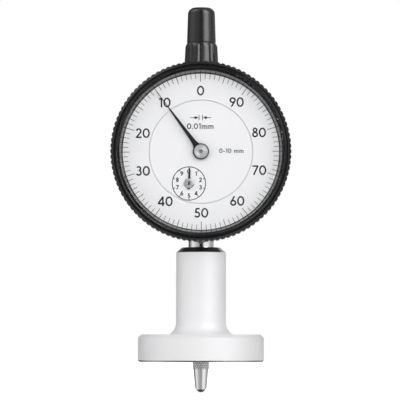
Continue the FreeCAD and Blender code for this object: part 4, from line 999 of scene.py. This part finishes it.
@dataclass
class MainHand:
    """The long black hand, its ring and its turned silver hub."""

    turn: float = 36.4
    front: float = -13.1
    back: float = -12.85
    hub_front: float = -13.7
    ring_r: float = 2.56
    hub_r: float = 2.16
    shank_r: float = 1.2
    shank_back: float = -12.2
    ring_sink: float = 0.06

    def hand(self) -> Surface:
        """The blade's half width by its distance from the centre, and the ring round the hub."""
        along = np.array([1.9, 2.35, 2.7, 3.2, 4.2, 6.0, 9.0, 13.0, 16.6, 17.0, 17.4, 20.0, 23.4, 23.8])
        half = np.array([1.25, 1.15, 0.98, 0.84, 0.72, 0.61, 0.5, 0.37, 0.235, 0.19, 0.13, 0.115, 0.1, 0.05])
        steel = blade(along, half, self.front, self.back, 0.06, DIAL_SPOT)
        ring = dial_turned([(self.shank_r, self.back), (self.ring_r, self.back), (self.ring_r, self.front),
                            (self.shank_r, self.front), (self.shank_r, self.back)], 0.06, 144)
        return joined([steel.turned(self.turn, DIAL_SPOT), ring])

    def hub(self) -> Surface:
        """The hub's section: a shank behind, and a face with two shallow rings and a sunk middle."""
        front = self.hub_front
        ring = front + self.ring_sink
        return dial_turned([
            (0.0, self.shank_back), (self.shank_r, self.shank_back), (self.shank_r, self.front),
            (self.hub_r, self.front), (self.hub_r, front + 0.12), (self.hub_r - 0.14, front), (1.66, front),
            (1.58, ring), (1.5, front), (1.12, front), (1.04, ring), (0.96, front), (0.6, front),
            (0.6, front + 0.3), (0.2, front + 0.3), (0.2, front + 0.02), (0.0, front + 0.02),
        ], 0.04, 144)

    def build(self) -> None:
        """Makes the hand and its hub."""
        add_piece("main_hand_blade", self.hand(), Body.POINTER, Finish.HAND_BLACK,
                  ["main_hand"])
        add_piece("main_hand_cap", self.hub(), Body.POINTER, Finish.HUB_SILVER,
                  ["main_hand_hub"])


@dataclass
class SmallHand:
    """The short black hand of the small dial with its rounded diamond hub."""

    lean: float = -3.0
    front: float = -12.2
    back: float = -12.0
    hub_front: float = -12.45

    def diamond(self, r: np.ndarray, h: np.ndarray, a: np.ndarray) -> np.ndarray:
        """Radius times 1 / (|cos a|^1.3 + |sin a|^1.3)^(1/1.3), which rounds a circle towards a diamond."""
        power = 1.3
        size = (np.abs(np.cos(a)) ** power + np.abs(np.sin(a)) ** power) ** (-1 / power)
        return np.where(r > 0.7, r * size, r)

    def build(self) -> None:
        """Makes the hand, its tail, the hub and the dark slot in it."""
        centre = COUNTER_SPOT
        up = blade(np.array([0.5, 1.6, 3.4, 4.7, 4.9]), np.array([0.36, 0.34, 0.26, 0.19, 0.12]),
                   self.front, self.back, 0.05, centre)
        down = blade(np.array([-1.85, -1.7, -0.6]), np.array([0.3, 0.42, 0.46]), self.front, self.back, 0.05,
                     centre)
        eye = dial_turned([(0.6, self.back), (1.15, self.back), (1.15, self.front), (0.6, self.front),
                           (0.6, self.back)], 0.04, 96, centre)
        hand = joined([piece.turned(self.lean, centre) for piece in (up, down, eye)])
        hub = dial_turned([
            (0.0, self.front), (1.55, self.front), (1.55, self.hub_front + 0.08), (1.42, self.hub_front),
            (0.75, self.hub_front), (0.0, self.hub_front),
        ], 0.05, 144, centre, self.diamond).turned(self.lean, centre)
        slot = ribbon(np.array([(centre[0], centre[1] - 0.5), (centre[0], centre[1] + 0.5)]), 0.5,
                      self.hub_front - 0.01, self.hub_front + 0.1).turned(self.lean, centre)
        add_piece("small_hand_blades", hand, Body.COUNTER, Finish.HAND_BLACK, ["small_hand"])
        add_piece("small_hand_diamond", hub, Body.COUNTER, Finish.HUB_SILVER,
                  ["small_hand_hub"])
        add_piece("small_hand_slot", slot, Body.COUNTER, Finish.HAND_BLACK)


@dataclass
class ContactPoint:
    """The contact point: a diamond-knurled collar over a polished taper."""

    collar_r: float = 2.55
    top: float = 3.0
    thread_r: float = 1.25
    thread_top: float = 9.0
    collar_low: float = -2.2
    neck_r: float = 2.375
    end_r: float = 1.8
    end: float = -8.4
    lip: float = -8.85
    lip_r: float = 1.2
    diamonds: int = 22
    pitch: float = 1.27
    cut: float = 0.2

    def knurled(self, r: np.ndarray, h: np.ndarray, a: np.ndarray) -> np.ndarray:
        """Two crossing sets of grooves, deepest where they cross: waves in n a + h and n a - h."""
        up = 2 * math.pi * h / self.pitch
        waves = [np.clip(np.cos(self.diamonds * a + side * up), 0, 1) ** 2 for side in (1, -1)]
        groove = self.cut * (waves[0] + waves[1]) / 2
        edge = np.clip((h - self.collar_low - 0.05) / 0.2, 0, 1) * np.clip((self.top - 0.1 - h) / 0.3, 0, 1)
        return np.where(r > self.neck_r + 0.1, r - groove * edge, r)

    def build(self) -> None:
        """Makes the contact point."""
        profile = eased([
            (0.0, self.lip), (self.lip_r, self.lip), (self.end_r, self.end),
            (self.neck_r, self.collar_low - 0.15), (self.neck_r - 0.1, self.collar_low),
            (self.collar_r - 0.06, self.collar_low), (self.collar_r, self.collar_low + 0.08),
            (self.collar_r, self.top), (self.thread_r, self.top), (self.thread_r, self.thread_top),
            (0.0, self.thread_top),
        ], [0.05, 0.25, 0.05, 0.03, 0.03, 0.03, 0.1, 0.05, 0.1])
        shell = revolved(filled(profile, 0.075), 288, Axis.UP, swell=self.knurled)
        add_piece("contact_taper", shell, Body.SPINDLE, Finish.POINT_STEEL, ["contact_point"])


SOLID_FINISHES: dict[Finish, tuple[str, ...]] = {
    Finish.SATIN_CHROME: ("base",),
    Finish.POLISHED: ("stem",),
    Finish.CASE_SATIN: ("rear_cover",),
    Finish.CASE_BLACK: ("case",),
    Finish.BEZEL_BLACK: ("bezel",),
    Finish.CAP_BLACK: ("dust_cap",),
    Finish.CRYSTAL: ("crystal",),
    Finish.DIAL_WHITE: ("dial_disc", "dial_ring", "front_plate"),
    Finish.HAND_BLACK: ("main_hand", "small_hand"),
    Finish.HUB_SILVER: ("main_hand_hub", "small_hand_hub"),
    Finish.BRASS: ("clamp_pad", "rear_plate", "plate_pillars", "pinion_cock", "rack_wheel", "take_up_wheel",
                   "hairspring_collet", "lower_guide_bush", "front_pivot_bushes", "rear_pivot_bushes",
                   "cock_bush"),
    Finish.STEEL: ("spindle", "spindle_collar", "upper_guide_bush", "guide_rail", "guide_pin", "spring_pin",
                   "spring_post", "rack_pinion", "centre_pinion", "take_up_arbor", "hairspring_stud",
                   "rear_cover_screws"),
    Finish.DARK_STEEL: ("base_clamp_screw", "front_plate_screws", "pillar_screws", "cock_screws",
                        "collar_screw"),
    Finish.SPRING_STEEL: ("return_spring", "hairspring", "bezel_retaining_wire"),
    Finish.POINT_STEEL: ("contact_point",),
    Finish.BALL_STEEL: ("contact_ball",),
    Finish.RUBBER: ("rear_cover_seal", "stop_washer", "cap_seal", "bezel_o_ring", "crystal_gasket"),
}


def dress_solids() -> None:
    """Puts a finish on every solid."""
    for finish, names in SOLID_FINISHES.items():
        for name in names:
            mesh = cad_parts[name].data
            mesh.materials.clear()
            mesh.materials.append(finish.material)
    left = set(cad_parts).difference(*SOLID_FINISHES.values())
    log.info("%d solids, without a finish: %s", len(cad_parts), sorted(left))


# Studio


def outward(azimuth: float, elevation: float) -> np.ndarray:
    """The direction from the gauge at an angle to the right of the front and above level, in degrees."""
    a, e = math.radians(azimuth), math.radians(elevation)
    return np.array([math.sin(a) * math.cos(e), -math.cos(a) * math.cos(e), math.sin(e)])


@dataclass(frozen=True)
class SoftBox:
    """A soft box that gloss shows: its place across and up, in degrees, its soft edge and its level."""

    across: Pair
    up: Pair
    level: float
    edge: float = 8.0

    def light(self, graph: Graph, angle: Socket, z: Socket) -> Socket:
        """Its light in a direction: the level inside it, falling off smoothly over its edges.

        Args:
            graph: the tree to add to.
            angle: the direction's angle to the right of the front.
            z: the direction's part upwards.
        """
        (left, right), (low, high), edge = self.across, self.up, self.edge
        share = graph.step(angle, math.radians(left - edge), math.radians(left + edge), 0.0, self.level)
        bottom = [math.sin(math.radians(v)) for v in (low - 1.0, low + 1.5)]
        top = [math.sin(math.radians(v)) for v in (high + edge, high - edge)]
        for other in (graph.step(angle, math.radians(right + edge), math.radians(right - edge)),
                      graph.step(z, *bottom), graph.step(z, *top)):
            share = graph.sum("MULTIPLY", share, other)
        return share


@dataclass
class Studio:
    """The camera, the floor and the plain soft light."""

    aim: tuple[float, float, float] = (-0.3, 0.0, 51.5)
    distance: float = 1050.0
    azimuth: float = 0.5
    elevation: float = -2.44
    roll: float = -0.086
    pixels_per_mm: float = 3.14
    floor: float = -9.7
    floor_size: float = 1.5
    soft: float = 0.5
    lamp_aim: float = 0.055
    boxes: tuple[SoftBox, ...] = (SoftBox((23.0, 62.0), (6.0, 62.0), 4.3),
                                  SoftBox((-125.0, -45.0), (30.0, 72.0), 0.9))
    floor_front: Pair = (16.0, 0.35)
    walls: tuple[Pair, ...] = (
        (-180, 0.55), (-163, 0.08), (-130, 0.13), (-112, 0.3), (-97, 0.62), (-85, 0.82), (-73, 0.86),
        (-62, 0.76), (-52, 0.62), (-40, 0.5), (-30, 0.46), (-19, 0.38), (-9.5, 0.015), (14, 0.015),
        (19.5, 0.55), (24, 0.68), (36, 0.9), (50, 0.95), (62, 0.9), (76, 0.78), (92, 0.5), (107, 0.34),
        (124, 0.5), (150, 0.3), (180, 0.55),
    )

    def camera(self) -> None:
        """Places the camera at the photograph's angle: far off, by the base's level, looking up a little."""
        data = bpy.data.cameras.new("camera")
        data.sensor_width = 36.0
        data.lens = self.distance * 36.0 * self.pixels_per_mm / 400
        data.clip_start, data.clip_end = 0.05, 20.0
        camera = bpy.data.objects.new("camera", data)
        camera.location = (np.asarray(self.aim) + outward(self.azimuth, self.elevation) * self.distance) * MM
        camera.rotation_euler = [math.radians(v) for v in (90 - self.elevation, self.roll, self.azimuth)]
        bpy.context.scene.collection.objects.link(camera)
        bpy.context.scene.camera = camera

    def angle(self, graph: Graph, x: Socket, y: Socket) -> Socket:
        """A direction's angle to the right of the front, atan2(x, -y)."""
        return graph.sum("ARCTAN2", x, graph.sum("MULTIPLY", y, -1.0))

    def round_the_walls(self, graph: Graph, angle: Socket,
                        walls: Sequence[Pair]) -> Socket:
        """How bright the studio is in a direction.

        Args:
            graph: the tree to add to.
            angle: the direction's angle to the right of the front.
            walls: angles in degrees, each with its level.

        Returns:
            A grey, from the table of walls.
        """
        share = graph.add("ShaderNodeMapRange", Value=angle, From_Min=-math.pi, From_Max=math.pi).outputs[0]
        ramp = graph.add("ShaderNodeValToRGB", Fac=share)
        ramp.color_ramp.interpolation = "EASE"
        stops = ramp.color_ramp.elements
        while len(stops) < len(walls):
            stops.new(0.5)
        for stop, (degrees, level) in zip(stops, walls):
            stop.position = (degrees + 180) / 360
            stop.color = (level, level, level, 1.0)
        return ramp.outputs[0]

    def ground(self) -> None:
        """A pale floor: white to the eye away from the gauge, and keeping its shadow near it."""
        size, z = self.floor_size, self.floor * MM
        mesh = bpy.data.meshes.new("floor")
        mesh.from_pydata([(-size, -size, z), (size, -size, z), (size, size, z), (-size, size, z)], [],
                         [(0, 1, 2, 3)])
        graph = Graph.named("floor")
        path = graph.add("ShaderNodeLightPath")
        x, y, _ = graph.parts()
        far = graph.step(graph.reach(x, y), 0.03, 0.3, 0.72, 1.0)
        eye = graph.sum("MULTIPLY", far, graph.sum("MAXIMUM", path.outputs["Is Camera Ray"],
                                                   path.outputs["Is Transmission Ray"]))
        paper = graph.add("ShaderNodeBsdfDiffuse", Color=(0.8, 0.8, 0.8, 1.0))
        glow = graph.add("ShaderNodeEmission", Color=(1.0, 1.0, 1.0, 1.0), Strength=eye)
        lit = graph.add("ShaderNodeAddShader", in0=paper.outputs[0], in1=glow.outputs[0])
        reach, least = self.floor_front
        levels = [(turn, max(level, least) if abs(turn) < reach else level) for turn, level in self.walls]
        grey = self.round_the_walls(graph, self.angle(graph, x, y), levels)
        walls = graph.add("ShaderNodeEmission", Color=grey)
        mesh.materials.append(graph.finish(graph.add("ShaderNodeMixShader", in0=path.outputs["Is Glossy Ray"],
                                                     in1=lit.outputs[0], in2=walls.outputs[0])))
        floor = bpy.data.objects.new("floor", mesh)
        bpy.context.scene.collection.objects.link(floor)

    def world(self) -> None:
        """White to the eye, the walls in gloss, and a soft even light for the rest."""
        world = bpy.data.worlds.new("studio")
        bpy.context.scene.world = world
        graph = Graph.cleared(world)
        path = graph.add("ShaderNodeLightPath")
        spot = graph.add("ShaderNodeTexCoord").outputs["Generated"]
        x, y, z = graph.add("ShaderNodeSeparateXYZ", in0=spot).outputs
        angle = self.angle(graph, x, y)
        walls = graph.add("ShaderNodeBackground", Color=self.round_the_walls(graph, angle, self.walls))
        boxes = [box.light(graph, angle, z) for box in self.boxes]
        light = functools.reduce(functools.partial(graph.sum, "ADD"), boxes)
        box = graph.add("ShaderNodeBackground", Color=(1.0, 1.0, 1.0, 1.0), Strength=light)
        gloss = graph.add("ShaderNodeAddShader", in0=walls.outputs[0], in1=box.outputs[0])
        soft = graph.add("ShaderNodeBackground", Color=(1.0, 1.0, 1.0, 1.0), Strength=self.soft)
        white = graph.add("ShaderNodeBackground", Color=(1.0, 1.0, 1.0, 1.0))
        lit = graph.add("ShaderNodeMixShader", in0=path.outputs["Is Glossy Ray"], in1=soft.outputs[0],
                        in2=gloss.outputs[0])
        eye = graph.sum("MAXIMUM", path.outputs["Is Camera Ray"], path.outputs["Is Transmission Ray"])
        seen = graph.add("ShaderNodeMixShader", in0=eye, in1=lit.outputs[0], in2=white.outputs[0])
        graph.add("ShaderNodeOutputWorld", Surface=seen.outputs[0])

    def lamp(self, name: str, azimuth: float, elevation: float, distance: float, size: Pair,
             power: float) -> None:
        """A soft rectangular lamp that faces the gauge, left out of gloss, which shows the walls instead.

        Args:
            name: its name.
            azimuth: to the right of the front, in degrees.
            elevation: above level, in degrees.
            distance: from the gauge, in metres.
            size: width and height, in metres.
            power: in watts.
        """
        data = bpy.data.lights.new(name, "AREA")
        data.shape = "RECTANGLE"
        data.size, data.size_y = size
        data.energy = power
        lamp = bpy.data.objects.new(name, data)
        lamp.location = outward(azimuth, elevation) * distance + np.array([0.0, 0.0, self.lamp_aim])
        lamp.rotation_euler = [math.radians(v) for v in (90 - elevation, 0.0, azimuth)]
        lamp.visible_glossy = False
        bpy.context.scene.collection.objects.link(lamp)

    def build(self) -> None:
        """Sets up the studio."""
        self.camera()
        self.ground()
        self.world()
        self.lamp("key_lamp", 46.0, 16.0, 1.1, (0.6, 0.7), 1.9)
        self.lamp("fill_lamp", -55.0, 4.0, 1.3, (0.8, 1.0), 2.9)
        self.lamp("top_lamp", 10.0, 70.0, 1.2, (1.0, 0.8), 0.3)
        self.lamp("front_lamp", 2.0, 8.0, 1.25, (1.0, 1.0), 8.5)
        bpy.context.scene.view_settings.view_transform = "Standard"
        log.info("studio: camera at %.0f mm, lens %.1f mm", self.distance, bpy.context.scene.camera.data.lens)


def main() -> None:
    """Sets the studio, dresses the solids and builds the gauge's visible pieces."""
    logging.basicConfig(level=logging.INFO, format="%(name)s %(message)s")
    Studio().build()
    dress_solids()
    for assembly in (Cap(), Bezel(), Crystal(), Dial(), MainHand(), SmallHand(), ContactPoint()):
        assembly.build()


if __name__ == "__main__":
    main()
